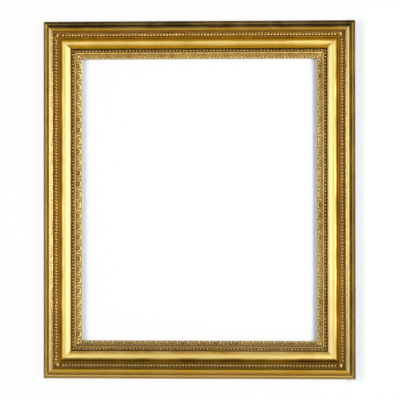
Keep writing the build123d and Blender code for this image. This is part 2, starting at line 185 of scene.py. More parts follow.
def sweep_tree() -> NodeTree:
    """Tree that sweeps a closed section along a straight path up Z and cuts its ends to a mitre.

    Returns:
        The tree. Mitre is 1 for a mitred rail and 0 for square ends; Waviness is the depth of scraped
        waves, without which the rail is smooth.
    """
    tree, given = open_tree("rail_sweep", {
        "Section": OBJECT, "Half": FLOAT, "Mitre": FLOAT,
        "Waviness": FLOAT, "Wave Length": FLOAT, "Seed": FLOAT, "Finish": MATERIAL,
    })
    drawn = add(tree, "GeometryNodeObjectInfo", {"Object": given["Section"]})
    section = add(tree, "GeometryNodeMeshToCurve", {"Mesh": drawn.outputs["Geometry"]})
    path = add(tree, "GeometryNodeMeshToCurve", {"Mesh": given["Geometry"]})
    rail = add(tree, "GeometryNodeCurveToMesh", {"Curve": path, "Profile Curve": section, "Fill Caps": True})
    place = add(tree, "GeometryNodeInputPosition")
    x, y, z = add(tree, "ShaderNodeSeparateXYZ", {"Vector": place}).outputs
    share = add(tree, MATH, {0: x, 1: given["Half"]}, operation="DIVIDE")
    cut = add(tree, MATH, {0: share, 1: given["Mitre"]}, operation="MULTIPLY")
    left = add(tree, MATH, {0: 1.0, 1: cut}, operation="SUBTRACT")
    along = add(tree, MATH, {0: z, 1: left}, operation="MULTIPLY")
    moved = add(tree, "ShaderNodeCombineXYZ", {"X": x, "Y": y, "Z": along})
    mitred = add(tree, "GeometryNodeSetPosition", {"Geometry": rail, "Position": moved})
    pitch = add(tree, MATH, {0: 1.0, 1: given["Wave Length"]}, operation="DIVIDE")
    wave = add(tree, NOISE, {"Vector": place, "W": given["Seed"], "Scale": pitch, "Detail": 1.0},
               noise_dimensions="4D")
    depth = add(tree, MATH, {0: wave, 1: given["Waviness"]}, operation="MULTIPLY")
    normal = add(tree, "GeometryNodeInputNormal")
    scraped = add(tree, VECTOR_MATH, {0: normal, "Scale": depth}, operation="SCALE")
    waved = add(tree, "GeometryNodeSetPosition", {"Geometry": mitred, "Offset": scraped})
    close_tree(tree, waved, given["Finish"])
    return tree


def row_tree() -> NodeTree:
    """Tree that sets a unit of ornament in an even row on the base it is given.

    Returns:
        The tree. Spread is how far units differ in size; each unit gets its own tone.
    """
    tree, given = open_tree("ornament_row", {
        "Unit": OBJECT, "First": VECTOR, "Step": VECTOR, "Count": INTEGER,
        "Spread": FLOAT, "Seed": INTEGER, "Finish": MATERIAL,
    })
    unit = add(tree, "GeometryNodeObjectInfo", {"Object": given["Unit"]})
    places = add(tree, "GeometryNodeMeshLine", {
        "Count": given["Count"], "Start Location": given["First"], "Offset": given["Step"],
    }, mode="OFFSET")
    least, most = (
        add(tree, MATH, {0: 1.0, 1: given["Spread"]}, operation=way) for way in ("SUBTRACT", "ADD")
    )
    size = add(tree, RANDOM, {"Min": least, "Max": most, "Seed": given["Seed"]}, data_type="FLOAT")
    row = add(tree, "GeometryNodeInstanceOnPoints", {
        "Points": places, "Instance": unit.outputs["Geometry"], "Scale": size,
    })
    tone = add(tree, RANDOM, {"Min": 0.0, "Max": 1.0, "Seed": given["Seed"]}, data_type="FLOAT")
    toned_and_shaded = add(tree, "GeometryNodeStoreNamedAttribute", {"Geometry": row, "Name": TONE, "Value": tone},
                data_type="FLOAT", domain="INSTANCE")
    whole = add(tree, "GeometryNodeJoinGeometry", {"Geometry": [toned_and_shaded, given["Geometry"]]})
    close_tree(tree, whole, given["Finish"])
    return tree


def fastener_tree() -> NodeTree:
    """Tree that sets a screw at each point it is given, each turned about Y as the screwdriver left it.

    Returns:
        The tree.
    """
    tree, given = open_tree("fastener_set", {"Unit": OBJECT, "Seed": INTEGER, "Finish": MATERIAL})
    unit = add(tree, "GeometryNodeObjectInfo", {"Object": given["Unit"]})
    angle = add(tree, RANDOM, {"Min": 0.0, "Max": math.pi, "Seed": given["Seed"]}, data_type="FLOAT")
    turn = add(tree, "ShaderNodeCombineXYZ", {"Y": angle})
    placed = add(tree, "GeometryNodeInstanceOnPoints", {
        "Points": given["Geometry"], "Instance": unit.outputs["Geometry"], "Rotation": turn,
    })
    close_tree(tree, placed, given["Finish"])
    return tree


@dataclass(frozen=True)
class Trees:
    """The geometry trees that the pieces grow from."""

    sweep: NodeTree
    row: NodeTree
    fasteners: NodeTree


def add_object(name: str, data: ID) -> Object:
    """Add an object to the scene.

    Args:
        name: Name of the object.
        data: Its mesh, light or camera.

    Returns:
        The object.
    """
    made = bpy.data.objects.new(name, data)
    bpy.context.scene.collection.objects.link(made)
    return made


def new_mesh(name: str, points: list, faces: list, edges: list | None = None) -> Mesh:
    """Make a mesh.

    Args:
        name: Name of the mesh.
        points: Its points.
        faces: Places of each face's points in the list.
        edges: Places of the ends of each loose edge.

    Returns:
        The mesh.
    """
    mesh = bpy.data.meshes.new(name)
    mesh.from_pydata(points, edges or [], faces)
    return mesh


def mark(mesh: Mesh, marks: dict[str, list[float]]) -> None:
    """Give a mesh its marks, each by name as a value at every point."""
    for label, row in marks.items():
        mesh.attributes.new(label, "FLOAT", "POINT").data.foreach_set("value", row)


@contextmanager
def editing(mesh: Mesh) -> Iterator[bmesh.types.BMesh]:
    """Open a mesh for editing and write it back at the end.

    Args:
        mesh: Mesh to edit.

    Yields:
        The open mesh.
    """
    work = bmesh.new()
    work.from_mesh(mesh)
    yield work
    work.to_mesh(mesh)
    work.free()


def grow(tree: NodeTree, base: Mesh, values: dict[str, Any]) -> Mesh:
    """Run a geometry tree on a mesh and keep the result as a plain mesh.

    Args:
        tree: Geometry tree.
        base: Mesh that the tree starts from.
        values: Value by the name of the input; a mesh is lent an object for the time.

    Returns:
        The new mesh.
    """
    lent = [add_object("carrier", base)]
    modifier = lent[0].modifiers.new("shape", "NODES")
    modifier.node_group = tree
    for item in tree.interface.items_tree:
        if item.in_out == "INPUT" and item.name in values:
            value = values[item.name]
            if isinstance(value, Mesh):
                value = add_object("carrier", value)
                lent.append(value)
            modifier[item.identifier] = value
    graph = bpy.context.evaluated_depsgraph_get()
    shaped = lent[0].evaluated_get(graph)
    mesh = bpy.data.meshes.new_from_object(shaped, preserve_all_data_layers=True, depsgraph=graph)
    for carrier in lent:
        bpy.data.objects.remove(carrier)
    return mesh


def line_mesh(points: list, closed: bool, marks: dict[str, list[float]]) -> Mesh:
    """Mesh of one line.

    Args:
        points: Points in order.
        closed: True if the last point joins the first.
        marks: Value at each point, by name.

    Returns:
        The mesh, with its marks as attributes.
    """
    count = len(points)
    edges = [(at, (at + 1) % count) for at in range(count if closed else count - 1)]
    mesh = new_mesh("line", points, [], edges)
    mark(mesh, marks)
    return mesh


def mark_relief(mesh: Mesh, low: float, high: float, deepest: float = 0.9) -> Mesh:
    """Mark a relief by its height along Z: hollow at low, crest at high.

    Args:
        mesh: Relief in its own frame.
        low: Height of the deepest hollows.
        high: Height of the crests.
        deepest: Recess of those hollows, which the gilding darkens as tone and painted shade.

    Returns:
        The same mesh.
    """
    shares = [min(1.0, max(0.0, (vertex.co.z - low) / (high - low))) for vertex in mesh.vertices]
    mark(mesh, {RECESS: [deepest * (1 - s) for s in shares], CREST: [s ** 4 for s in shares]})
    return mesh


def ring_relief(rings: list[list[tuple]], apex: tuple, floor: float) -> Mesh:
    """Closed mesh of rings that climb to an apex, with a skirt down to a floor.

    Args:
        rings: Rings of as many points each, from the outside inwards.
        apex: The last point.
        floor: Height of the flat underside.

    Returns:
        The mesh.
    """
    count = len(rings[0])
    stack = [[(x, y, floor) for x, y, _ in rings[0]], *rings]
    points = [point for ring in stack for point in ring] + [apex]
    last = (len(stack) - 1) * count
    faces = [list(range(count))[::-1]]
    for low in range(0, last, count):
        high = low + count
        faces += [
            (low + at, low + (at + 1) % count, high + (at + 1) % count, high + at) for at in range(count)
        ]
    faces += [(last + at, last + (at + 1) % count, len(points) - 1) for at in range(count)]
    return new_mesh("relief", points, faces)


def boss(radius: float, levels: list[tuple], segments: int, top: float, floor: float,
         middle: float = 0.0) -> Mesh:
    """Closed mesh of a round boss.

    Args:
        radius: Its radius.
        levels: Share of the radius and height of each ring, from the outside inwards.
        segments: Points of each ring.
        top: Height of its apex.
        floor: Height of the flat underside.
        middle: Place of its axis along Y.

    Returns:
        The mesh.
    """
    turns = [2 * math.pi * at / segments for at in range(segments)]
    rings = [
        [(radius * share * math.cos(a), middle + radius * share * math.sin(a), height) for a in turns]
        for share, height in levels
    ]
    return ring_relief(rings, (0, middle, top), floor)


def row_relief(rows: list[list[tuple]], floor: float) -> Mesh:
    """Closed mesh of rows of points, with a skirt down to a floor.

    Args:
        rows: Rows of as many points each.
        floor: Height of the flat underside.

    Returns:
        The mesh.
    """
    wide, tall = len(rows[0]), len(rows)
    points = [point for row in rows for point in row]
    faces = [
        (low + at, low + at + 1, low + wide + at + 1, low + wide + at)
        for low in range(0, (tall - 1) * wide, wide) for at in range(wide - 1)
    ]
    edge = list(range(wide))
    edge += [row * wide + wide - 1 for row in range(1, tall)]
    edge += [(tall - 1) * wide + at for at in range(wide - 2, -1, -1)]
    edge += [row * wide for row in range(tall - 2, 0, -1)]
    first = len(points)
    points += [(points[at][0], points[at][1], floor) for at in edge]
    for step, at in enumerate(edge):
        after = (step + 1) % len(edge)
        faces.append((edge[after], at, first + step, first + after))
    faces.append(list(range(first, len(points))))
    return new_mesh("relief", points, faces)


def joined(*meshes: Mesh) -> Mesh:
    """One mesh that holds the shells of several, with their marks.

    Args:
        *meshes: The meshes.

    Returns:
        The new mesh.
    """
    work = bmesh.new()
    for mesh in meshes:
        work.from_mesh(mesh)
    result = bpy.data.meshes.new("joined")
    work.to_mesh(result)
    work.free()
    return result


def show(name: str, mesh: Mesh, body: str, slot: str, *nodes: str) -> None:
    """Make a finished mesh a piece of the object, in place of the solids that it stands for.

    Args:
        name: Name of the piece.
        mesh: Mesh in the frame of the object, in metres.
        body: Body that the piece rides on.
        slot: Material slot of the record; not used.
        *nodes: Solids that the piece replaces.
    """
    with editing(mesh) as work:
        bmesh.ops.recalc_face_normals(work, faces=work.faces)
    mesh.shade_smooth()
    mesh.set_sharp_from_angle(angle=math.radians(CREASE_DEGREES))
    piece = add_object(name, mesh)
    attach(piece, body)
    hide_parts(*nodes)
    LOG.info("%s: %d faces, rides on %s", name, len(mesh.polygons), body)


def dress(node: str, finish: Material) -> None:
    """Give a solid that stays in view its finish.

    Args:
        node: Name of the solid.
        finish: Its finish.
    """
    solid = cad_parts[node]
    solid.data.materials.clear()
    solid.data.materials.append(finish)
    LOG.info("%s: %s", node, finish.name)


def new_finish(name: str) -> tuple[Material, NodeTree]:
    """Start a material.

    Args:
        name: Name of the material.

    Returns:
        The material and its empty tree.
    """
    material = bpy.data.materials.new(name)
    material.use_nodes = True
    material.node_tree.nodes.clear()
    return material, material.node_tree


def layered(tree: NodeTree, ground: str, layers: list[tuple]) -> Node:
    """Colour of a ground under layers, each of which covers a share of what lies below it.

    Args:
        tree: Tree of the material.
        ground: Colour of the ground.
        layers: Share and colour of each layer, the lowest first.

    Returns:
        The node of the colour.
    """
    colour = linear(ground)
    for share, layer in layers:
        colour = add(tree, MIX, {"Factor": share, "A": colour, "B": linear(layer)}, data_type="RGBA")
    return colour


def close_finish(tree: NodeTree, inputs: dict[str, Any]) -> None:
    """End a material's tree with its shader, given the inputs of the shader by name."""
    shader = add(tree, PRINCIPLED, inputs)
    add(tree, "ShaderNodeOutputMaterial", {"Surface": shader})


class Side(Enum):
    """A rail of the frame, with the directions inward to the opening and along the rail."""

    TOP = ("top", (0, 0, -1), (-1, 0, 0))
    BOTTOM = ("bottom", (0, 0, 1), (1, 0, 0))
    LEFT = ("left", (1, 0, 0), (0, 0, -1))
    RIGHT = ("right", (-1, 0, 0), (0, 0, 1))

    def __init__(self, label: str, inward: tuple, along: tuple) -> None:
        """Keep the name and the directions of the side.

        Args:
            label: Name of the side in the names of its nodes.
            inward: Direction to the opening.
            along: Direction along the rail.
        """
        self.label = label
        self.inward = Vector(inward)
        self.along = Vector(along)

    def reach(self, direction: Vector) -> float:
        """Distance in metres from the middle to the outside of the rail in a direction."""
        return max(abs(Vector(corner).dot(direction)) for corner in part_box(f"face_moulding_{self.label}"))

    @property
    def half(self) -> float:
        """Half the outer length of the rail in millimetres."""
        return self.reach(self.along) / MM

    @property
    def seed(self) -> int:
        """A number of the side's own for its random draws."""
        return 11 + 7 * list(Side).index(self)

    @property
    def place(self) -> Matrix:
        """Matrix from a section's frame (inward, forward, along) in millimetres to the object's in metres."""
        turn = Matrix((self.inward, VIEWER, self.along)).transposed().to_4x4()
        return Matrix.Translation(-self.inward * self.reach(self.inward)) @ turn @ Matrix.Scale(MM, 4)


class Corner(Enum):
    """A corner of the frame, seen from the front."""

    TOP_LEFT = ("top_left", -1, 1)
    TOP_RIGHT = ("top_right", 1, 1)
    BOTTOM_LEFT = ("bottom_left", -1, -1)
    BOTTOM_RIGHT = ("bottom_right", 1, -1)

    def __init__(self, label: str, right: int, up: int) -> None:
        """Keep the name and the direction of the corner.

        Args:
            label: Name of the corner in the names of its nodes.
            right: 1 for a corner on the right, -1 on the left.
            up: 1 for an upper corner, -1 for a lower one.
        """
        self.label = label
        self.right = right
        self.up = up

    def place(self, inward: float, forward: float) -> Matrix:
        """Matrix from a frame on the mitre, Y outward and Z to the viewer, to the object's in metres.

        Args:
            inward: Distance in from both outer edges in millimetres.
            forward: Height above the back plane in millimetres.

        Returns:
            The matrix, which also turns millimetres into metres.
        """
        outward = Vector((self.right, 0, self.up)).normalized()
        turn = Matrix((outward.cross(VIEWER), outward, VIEWER)).transposed().to_4x4()
        at = Vector((
            self.right * (Side.RIGHT.reach(Side.RIGHT.inward) - inward * MM),
            -forward * MM,
            self.up * (Side.TOP.reach(Side.TOP.inward) - inward * MM),
        ))
        return Matrix.Translation(at) @ turn @ Matrix.Scale(MM, 4)


@dataclass(frozen=True)
class GoldLeaf:
    """Gold leaf laid on red bole over gesso, its hollows darkened with aged brown tone and painted shade.

    Leaf is a true metal: it mirrors softly where the bole was burnished and lies satin where it was not.
    Crests take paler leaf as a painted highlight or rub through to the red bole, tone and painted shade
    darken the hollows, dust that is partly painted shade lies on the parts marked for it, and each leaf of
    gold differs a little.
    """

    name: str
    leaf: str = "#dabd6c"
    pale_leaf: str = "#e4c978"
    highlight_leaf: str = "#f3dc9a"
    bole: str = "#9a5a32"
    toning_and_shade: str = "#c0951a"
    umber_and_shade: str = "#4a2f0c"
    ochre: str = "#7d6428"
    old_leaf: str = "#ab8c48"
    dust: str = "#3f290a"
    burnished: float = 0.17
    satin: float = 0.47
    varnish: float = 0.1
    varnish_roughness: float = 0.3
    toned_and_shaded_from: float = 0.6
    toned_and_shaded_to: float = 0.95
    deepest_shade_from: float = 1.1
    deepest_shade_to: float = 1.4
    cloud_toning: float = 0.5
    unit_toning: float = 0.16
    painted_highlight_share: float = 0.6
    dust_cover: float = 0.14
    dust_from: float = 0.3
    dust_to: float = 0.6
    least_dust: float = 0.6
    rubbed_share: float = 0.12
    rubbed_from: float = 1.52
    rubbed_to: float = 1.7
    rubbed_grit: float = 0.9
    seam_share: float = 0.5
    leaf_size: float = 80.0
    cloud_size: float = 48.0
    speck_size: float = 3.2
    speck_depth: float = 0.1
    grit_size: float = 1.1
    grit_depth: float = 0.03
    pressed: float = 0.15

    def make(self) -> Material:
        """Build the material.

        Returns:
            The material.
        """
        material, tree = new_finish(self.name)
        place = add(tree, "ShaderNodeTexCoord").outputs["Object"]
        marked = {
            label: add(tree, "ShaderNodeAttribute", attribute_name=label).outputs["Fac"] for label in MARKS
        }
        cloud, speck, grit = (
            add(tree, NOISE, {"Vector": place, "Scale": per_metre(size), "Detail": detail})
            for size, detail in ((self.cloud_size, 5.0), (self.speck_size, 3.0), (self.grit_size, 2.0))
        )
        # Squares of leaf, each of its own beating
        square = add(tree, VECTOR_MATH, {0: place, "Scale": per_metre(self.leaf_size)}, operation="SCALE")
        which = add(tree, VECTOR_MATH, {0: square}, operation="FLOOR")
        beating = add(tree, "ShaderNodeTexWhiteNoise", {"Vector": which}, noise_dimensions="3D")
        # Crests take paler leaf: a painted highlight
        clean = add(tree, MATH, {0: marked[CREST], 1: self.painted_highlight_share}, operation="MULTIPLY")
        # Tone and painted shade lie where the surface is closed in, with an uneven edge, and turn dark brown
        # furthest in
        patchy = marked[RECESS]
        for cause, share in ((cloud, self.cloud_toning), (marked[TONE], self.unit_toning)):
            patchy = add(tree, MATH, {0: cause, 1: share, 2: patchy}, operation="MULTIPLY_ADD")
        toned_and_shaded, deepest_shade = (
            add(tree, RANGE, {"Value": patchy, "From Min": low, "From Max": high},
                interpolation_type="SMOOTHSTEP")
            for low, high in ((self.toned_and_shaded_from, self.toned_and_shaded_to), (self.deepest_shade_from, self.deepest_shade_to))
        )
        # Crests rubbed through to the bole in small broken spots
        wear = add(tree, MATH, {0: grit, 1: self.rubbed_grit, 2: marked[CREST]}, operation="MULTIPLY_ADD")
        rubbed = add(tree, RANGE, {
            "Value": wear, "From Min": self.rubbed_from, "From Max": self.rubbed_to,
            "To Max": self.rubbed_share,
        })
        seam = add(tree, MATH, {0: marked[JOINT], 1: self.seam_share}, operation="MULTIPLY")
        darkest = add(tree, MATH, {0: seam, 1: deepest_shade}, operation="MAXIMUM")
        # Dust, partly painted shade, lies unevenly
        thick = add(tree, RANGE, {
            "Value": cloud, "From Min": self.dust_from, "From Max": self.dust_to,
            "To Min": self.least_dust, "To Max": 1.0,
        })
        dusty_and_shaded = add(tree, MATH, {0: thick, 1: marked[DUST_AND_SHADE]}, operation="MULTIPLY")
        colour = layered(tree, self.leaf, [
            (beating, self.pale_leaf), (clean, self.highlight_leaf), (marked[PATINA], self.old_leaf),
            (rubbed, self.bole), (toned_and_shaded, self.toning_and_shade), (darkest, self.umber_and_shade),
            (marked[WASH], self.ochre), (dusty_and_shaded, self.dust),
        ])
        # Bole and paint are no metal, and dust, partly painted shade, dims the metal under it
        painted = marked[WASH]
        film = add(tree, MATH, {0: dusty_and_shaded, 1: self.dust_cover}, operation="MULTIPLY")
        for cover in (rubbed, seam, film):
            painted = add(tree, MATH, {0: painted, 1: cover}, operation="MAXIMUM")
        metal = add(tree, MATH, {0: 1.0, 1: painted}, operation="SUBTRACT")
        # How far each of these roughens the leaf
        rough = add(tree, RANGE, {"Value": marked[BURNISH], "To Min": self.satin, "To Max": self.burnished})
        for cause, share in ((toned_and_shaded, 0.26), (marked[PATINA], 0.24), (cloud, 0.08), (painted, 0.3)):
            rough = add(tree, MATH, {0: cause, 1: share, 2: rough}, operation="MULTIPLY_ADD")
        # Burnishing presses the surface flat
        loose = add(tree, RANGE, {"Value": marked[BURNISH], "To Min": 1.0, "To Max": self.pressed})
        fine, coarse = (
            add(tree, MATH, {0: grain, 1: loose}, operation="MULTIPLY") for grain in (grit, speck)
        )
        ripple = add(tree, BUMP, {"Strength": 0.35, "Distance": self.grit_depth * MM, "Height": fine})
        relief = add(tree, BUMP, {
            "Strength": 0.4, "Distance": self.speck_depth * MM, "Height": coarse, "Normal": ripple,
        })
        close_finish(tree, {
            "Base Color": colour, "Metallic": metal, "Roughness": rough, "Normal": relief,
            "Coat Weight": self.varnish, "Coat Roughness": self.varnish_roughness,
        })
        return material


class Grain(Enum):
    """The way the grain of a board runs, as how much longer a mark is than wide along X, Y and Z."""

    ACROSS = (0.05, 1.0, 1.0)
    UPRIGHT = (1.0, 1.0, 0.05)


@dataclass(frozen=True)
class OldWood:
    """Bare planed softwood or hardwood, darkened by age and dust.

    Growth rings show as darker lines along the grain, with short pores and a dull, dry surface.
    """

    name: str
    grain: Grain
    early: str = "#b98f5e"
    late: str = "#8a5f36"
    dust: str = "#5f4a35"
    ring_width: float = 5.0
    rings_in_cloud: float = 7.0
    late_from: float = 0.55
    ring_depth: float = 0.15
    pore_width: float = 0.9
    pore_depth: float = 0.12
    stain_size: float = 70.0

    def make(self) -> Material:
        """Build the material.

        Returns:
            The material.
        """
        material, tree = new_finish(self.name)
        place = add(tree, "ShaderNodeTexCoord").outputs["Object"]
        drawn = add(tree, "ShaderNodeMapping", {"Vector": place, "Scale": self.grain.value})
        cloud = add(tree, NOISE, {
            "Vector": drawn, "Scale": per_metre(self.ring_width * 3), "Detail": 2.0, "Distortion": 0.6,
        })
        bands = add(tree, MATH, {0: cloud, 1: self.rings_in_cloud}, operation="MULTIPLY")
        line = add(tree, MATH, {0: bands, 1: 1.0}, operation="PINGPONG")
        late = add(tree, RANGE, {"Value": line, "From Min": self.late_from, "From Max": 1.0})
        pores = add(tree, NOISE, {"Vector": drawn, "Scale": per_metre(self.pore_width), "Detail": 3.0})
        pitted = add(tree, RANGE, {"Value": pores, "From Min": 0.5, "From Max": 0.75, "To Max": 0.5})
        stain = add(tree, NOISE, {"Vector": place, "Scale": per_metre(self.stain_size), "Detail": 5.0})
        stained = add(tree, RANGE, {"Value": stain, "From Min": 0.42, "From Max": 0.72, "To Max": 0.6})
        colour = layered(tree, self.early, [(late, self.late), (pitted, self.late), (stained, self.dust)])
        dry = add(tree, RANGE, {"Value": pores, "To Min": 0.62, "To Max": 0.86})
        raised = add(tree, BUMP, {"Strength": 0.4, "Distance": self.pore_depth * MM, "Height": pores})
        ridged = add(tree, BUMP, {
            "Strength": 0.4, "Distance": self.ring_depth * MM, "Height": late, "Normal": raised,
        })
        close_finish(tree, {"Base Color": colour, "Roughness": dry, "Normal": ridged})
        return material


@dataclass(frozen=True)
class OldMetal:
    """Drawn or cut metal with a skin of tarnish.

    Handling keeps patches of it bright and the rest is dull and darker; fine scratches run all ways.
    """

    name: str
    bright: str
    dull: str
    smooth: float = 0.3
    rough: float = 0.52
    tarnish_size: float = 7.0
    tarnish_from: float = 0.36
    tarnish_to: float = 0.64
    scratch_size: float = 0.8
    scratch_depth: float = 0.03

    def make(self) -> Material:
        """Build the material.

        Returns:
            The material.
        """
        material, tree = new_finish(self.name)
        place = add(tree, "ShaderNodeTexCoord").outputs["Object"]
        tarnish = add(tree, NOISE, {"Vector": place, "Scale": per_metre(self.tarnish_size), "Detail": 5.0})
        share = add(tree, RANGE, {
            "Value": tarnish, "From Min": self.tarnish_from, "From Max": self.tarnish_to,
        })
        skin = add(tree, RANGE, {"Value": share, "To Min": self.smooth, "To Max": self.rough})
        scratch = add(tree, NOISE, {
            "Vector": place, "Scale": per_metre(self.scratch_size), "Detail": 2.0, "Distortion": 1.5,
        })
        worked = add(tree, BUMP, {"Strength": 0.25, "Distance": self.scratch_depth * MM, "Height": scratch})
        close_finish(tree, {
            "Base Color": layered(tree, self.bright, [(share, self.dull)]),
            "Metallic": 1.0, "Roughness": skin, "Normal": worked,
        })
        return material


@dataclass(frozen=True)
class Skin:
    """How a stretch of moulding was finished and shaded, each as a share from 0 to 1.

    Polish is burnishing, patina dull aged leaf, wash bare ochre paint and dust what settles on a rail, partly
    painted shade. Painted shade darkens beyond what the shape would hold and, below 0, is painted light, and
    painted highlight is paler leaf where a highlight falls.
    """

    polish: float = 0.0
    patina: float = 0.0
    wash: float = 0.0
    dust: float = 0.0
    painted_shade: float = 0.0
    clean: float = 0.0


GILT = Skin()
RAW = Skin(wash=1.0)


@dataclass(frozen=True)
class RailDustAndShade:
    """Dust and painted shade on the parts of one rail, each as a share from 0 to 1.

    Dust, partly painted shade, lies on the bead, the shoulder of the top edge, the scotia, the roll of the
    cushion and the lip. Painted shade darkens the crown of the top edge, the slope of the cushion and the
    seat of the pearls. The leaf along the sight edge is dulled as patina and painted shade, and the cushion
    gets a painted highlight.
    """

    bead: float = 0.0
    shoulder: float = 0.0
    crown: float = 0.0
    scotia: float = 0.0
    roll: float = 0.0
    slope: float = 0.0
    seat: float = -0.2
    lip: float = 0.0
    patina_and_shade: float = 0.8
    cushion_highlight: float = 0.0


# Shares by side, partly dust and partly painted shade, with a painted highlight on the left and right
# cushions
RAIL_DUST_AND_SHADE = {
    Side.TOP: RailDustAndShade(bead=0.95, shoulder=1.0, crown=0.65, slope=0.6, seat=0.15, patina_and_shade=0.15),
    Side.BOTTOM: RailDustAndShade(crown=0.65, scotia=0.4, roll=0.9, slope=0.4, lip=0.3),
    Side.LEFT: RailDustAndShade(patina_and_shade=0.6, cushion_highlight=0.8),
    Side.RIGHT: RailDustAndShade(bead=0.5, shoulder=0.35, scotia=0.2, seat=0.05, patina_and_shade=0.6, cushion_highlight=0.8),
}


@dataclass
class Outline:
    """Line of a section, drawn on from its last point, with the skin of each point."""

    start: tuple[float, float]
    step: float = 0.65
    bowed: float = 1.1
    points: list[Vector] = field(default_factory=list)
    skins: list[Skin] = field(default_factory=list)

    def __post_init__(self) -> None:
        """Begin at the first point."""
        self.points.append(Vector(self.start))
        self.skins.append(RAW)

    def _draw(self, curve: Callable, length: float, skin: Skin, step: float | None = None,
              later: Skin | None = None) -> None:
        """Keep points along a curve from the last point, at even steps.

        Args:
            curve: Point of the curve at a share from 0 to 1.
            length: Its length.
            skin: Skin of its points.
            step: Distance between points, if not the usual.
            later: Skin of its second half, if another.
        """
        count = max(1, round(length / (step or self.step)))
        for at in range(1, count + 1):
            self.points.append(curve(at / count))
            self.skins.append(later if later and 2 * at > count else skin)

    def run(self, end: tuple, skin: Skin = GILT, step: float | None = None) -> None:
        """Draw a straight line to a point."""
        first, last = self.points[-1], Vector(end)
        self._draw(lambda t: first.lerp(last, t), (last - first).length, skin, step)

    def bow(self, middle: tuple, end: tuple, skin: Skin, later: Skin | None = None) -> None:
        """Draw a bowed line.

        Args:
            middle: Point halfway along it.
            end: Its end.
            skin: Skin of its points.
            later: Skin of its second half, if another.
        """
        first, last = self.points[-1], Vector(end)
        pull = 2 * Vector(middle) - (first + last) / 2
        length = (last - first).length * self.bowed
        self._draw(lambda t: bend(first, pull, last, t), length, skin, later=later)

    def turn(self, centre: tuple, degrees: float, skin: Skin = GILT) -> None:
        """Draw an arc.

        Args:
            centre: Its centre.
            degrees: Its angle, counter-clockwise if it is positive.
            skin: Skin of its points.
        """
        middle = Vector(centre)
        arm = self.points[-1] - middle
        angle = math.radians(degrees)
        self._draw(lambda t: middle + Matrix.Rotation(angle * t, 2) @ arm, arm.length * abs(angle), skin)

    def crown(self, width: float, rise: float, fullness: float, skin: Skin, later: Skin) -> None:
        """Draw an arch that ends level with its start.

        Args:
            width: Its width.
            rise: Its height.
            fullness: 2 for an ellipse, more for a flatter top.
            skin: Skin of its first half.
            later: Skin of its second half.
        """
        first = self.points[-1]
        power = 2 / fullness

        def arch(t: float) -> Vector:
            """Point of the arch at a share of it."""
            swing = math.copysign(abs(math.cos(math.pi * t)) ** power, math.cos(math.pi * t))
            return first + Vector((width / 2 * (1 - swing), rise * abs(math.sin(math.pi * t)) ** power))

        self._draw(arch, width + 2 * rise, skin, self.step / 2, later)

    def soften(self, above: float, passes: int = 2) -> None:
        """Round the arrises a little, as gesso does.

        Args:
            above: Height from which they are rounded.
            passes: How often.
        """
        for _ in range(passes):
            ahead = self.points[1:] + self.points[:1]
            self.points = [
                (self.points[at - 1] + 2 * point + ahead[at]) / 4 if point.y > above else point
                for at, point in enumerate(self.points)
            ]

    def faded(self, label: str, spread: int = 4) -> list[float]:
        """Shares of one kind of skin, so averaged that finishes run into another.

        Args:
            label: Kind of skin.
            spread: How many neighbours on either side count.

        Returns:
            The share at each point.
        """
        shares = [getattr(skin, label) for skin in self.skins]
        count = len(shares)
        around = range(-spread, spread + 1)
        return [sum(shares[(at + step) % count] for step in around) / len(around) for at in range(count)]

    def section(self, skyline: list[Vector], window: float = 4.0, rise: float = 1.2) -> Mesh:
        """Mesh of the section, marked with how closed in and how exposed each point is, plus painted shade
        and highlight.

        Args:
            skyline: Front line of the whole rail.
            window: How far either side a crest is measured against.
            rise: How far above its surroundings a full crest stands.

        Returns:
            The mesh of the closed line.
        """
        recess, crest = [], []
        # Painted shade adds to how closed in a point is, and painted highlight to how exposed it is
        for point, painted_shade, clean in zip(self.points, self.faded("painted_shade"), self.faded("clean")):
            sides = [0.0, 0.0]
            near = []
            for other in skyline:
                across = other.x - point.x
                angle = math.atan2(other.y - point.y, abs(across))
                if abs(across) > TINY or other.y > point.y + TINY:
                    side = 0 if across < 0 or (across == 0 and point.x < TINY) else 1
                    sides[side] = max(sides[side], angle)
                if abs(across) < window:
                    near.append(other.y)
            recess.append(sum(sides) / math.pi + painted_shade)
            mean = sum(near) / len(near) if near else point.y
            crest.append(min(1.0, max(0.0, (point.y - mean) / rise) + clean))
        marks = {
            RECESS: recess, CREST: crest, BURNISH: [skin.polish for skin in self.skins],
            PATINA: self.faded("patina"), WASH: [skin.wash for skin in self.skins], DUST_AND_SHADE: self.faded("dust"),
        }
        return line_mesh([(point.x, point.y, 0.0) for point in self.points], True, marks)


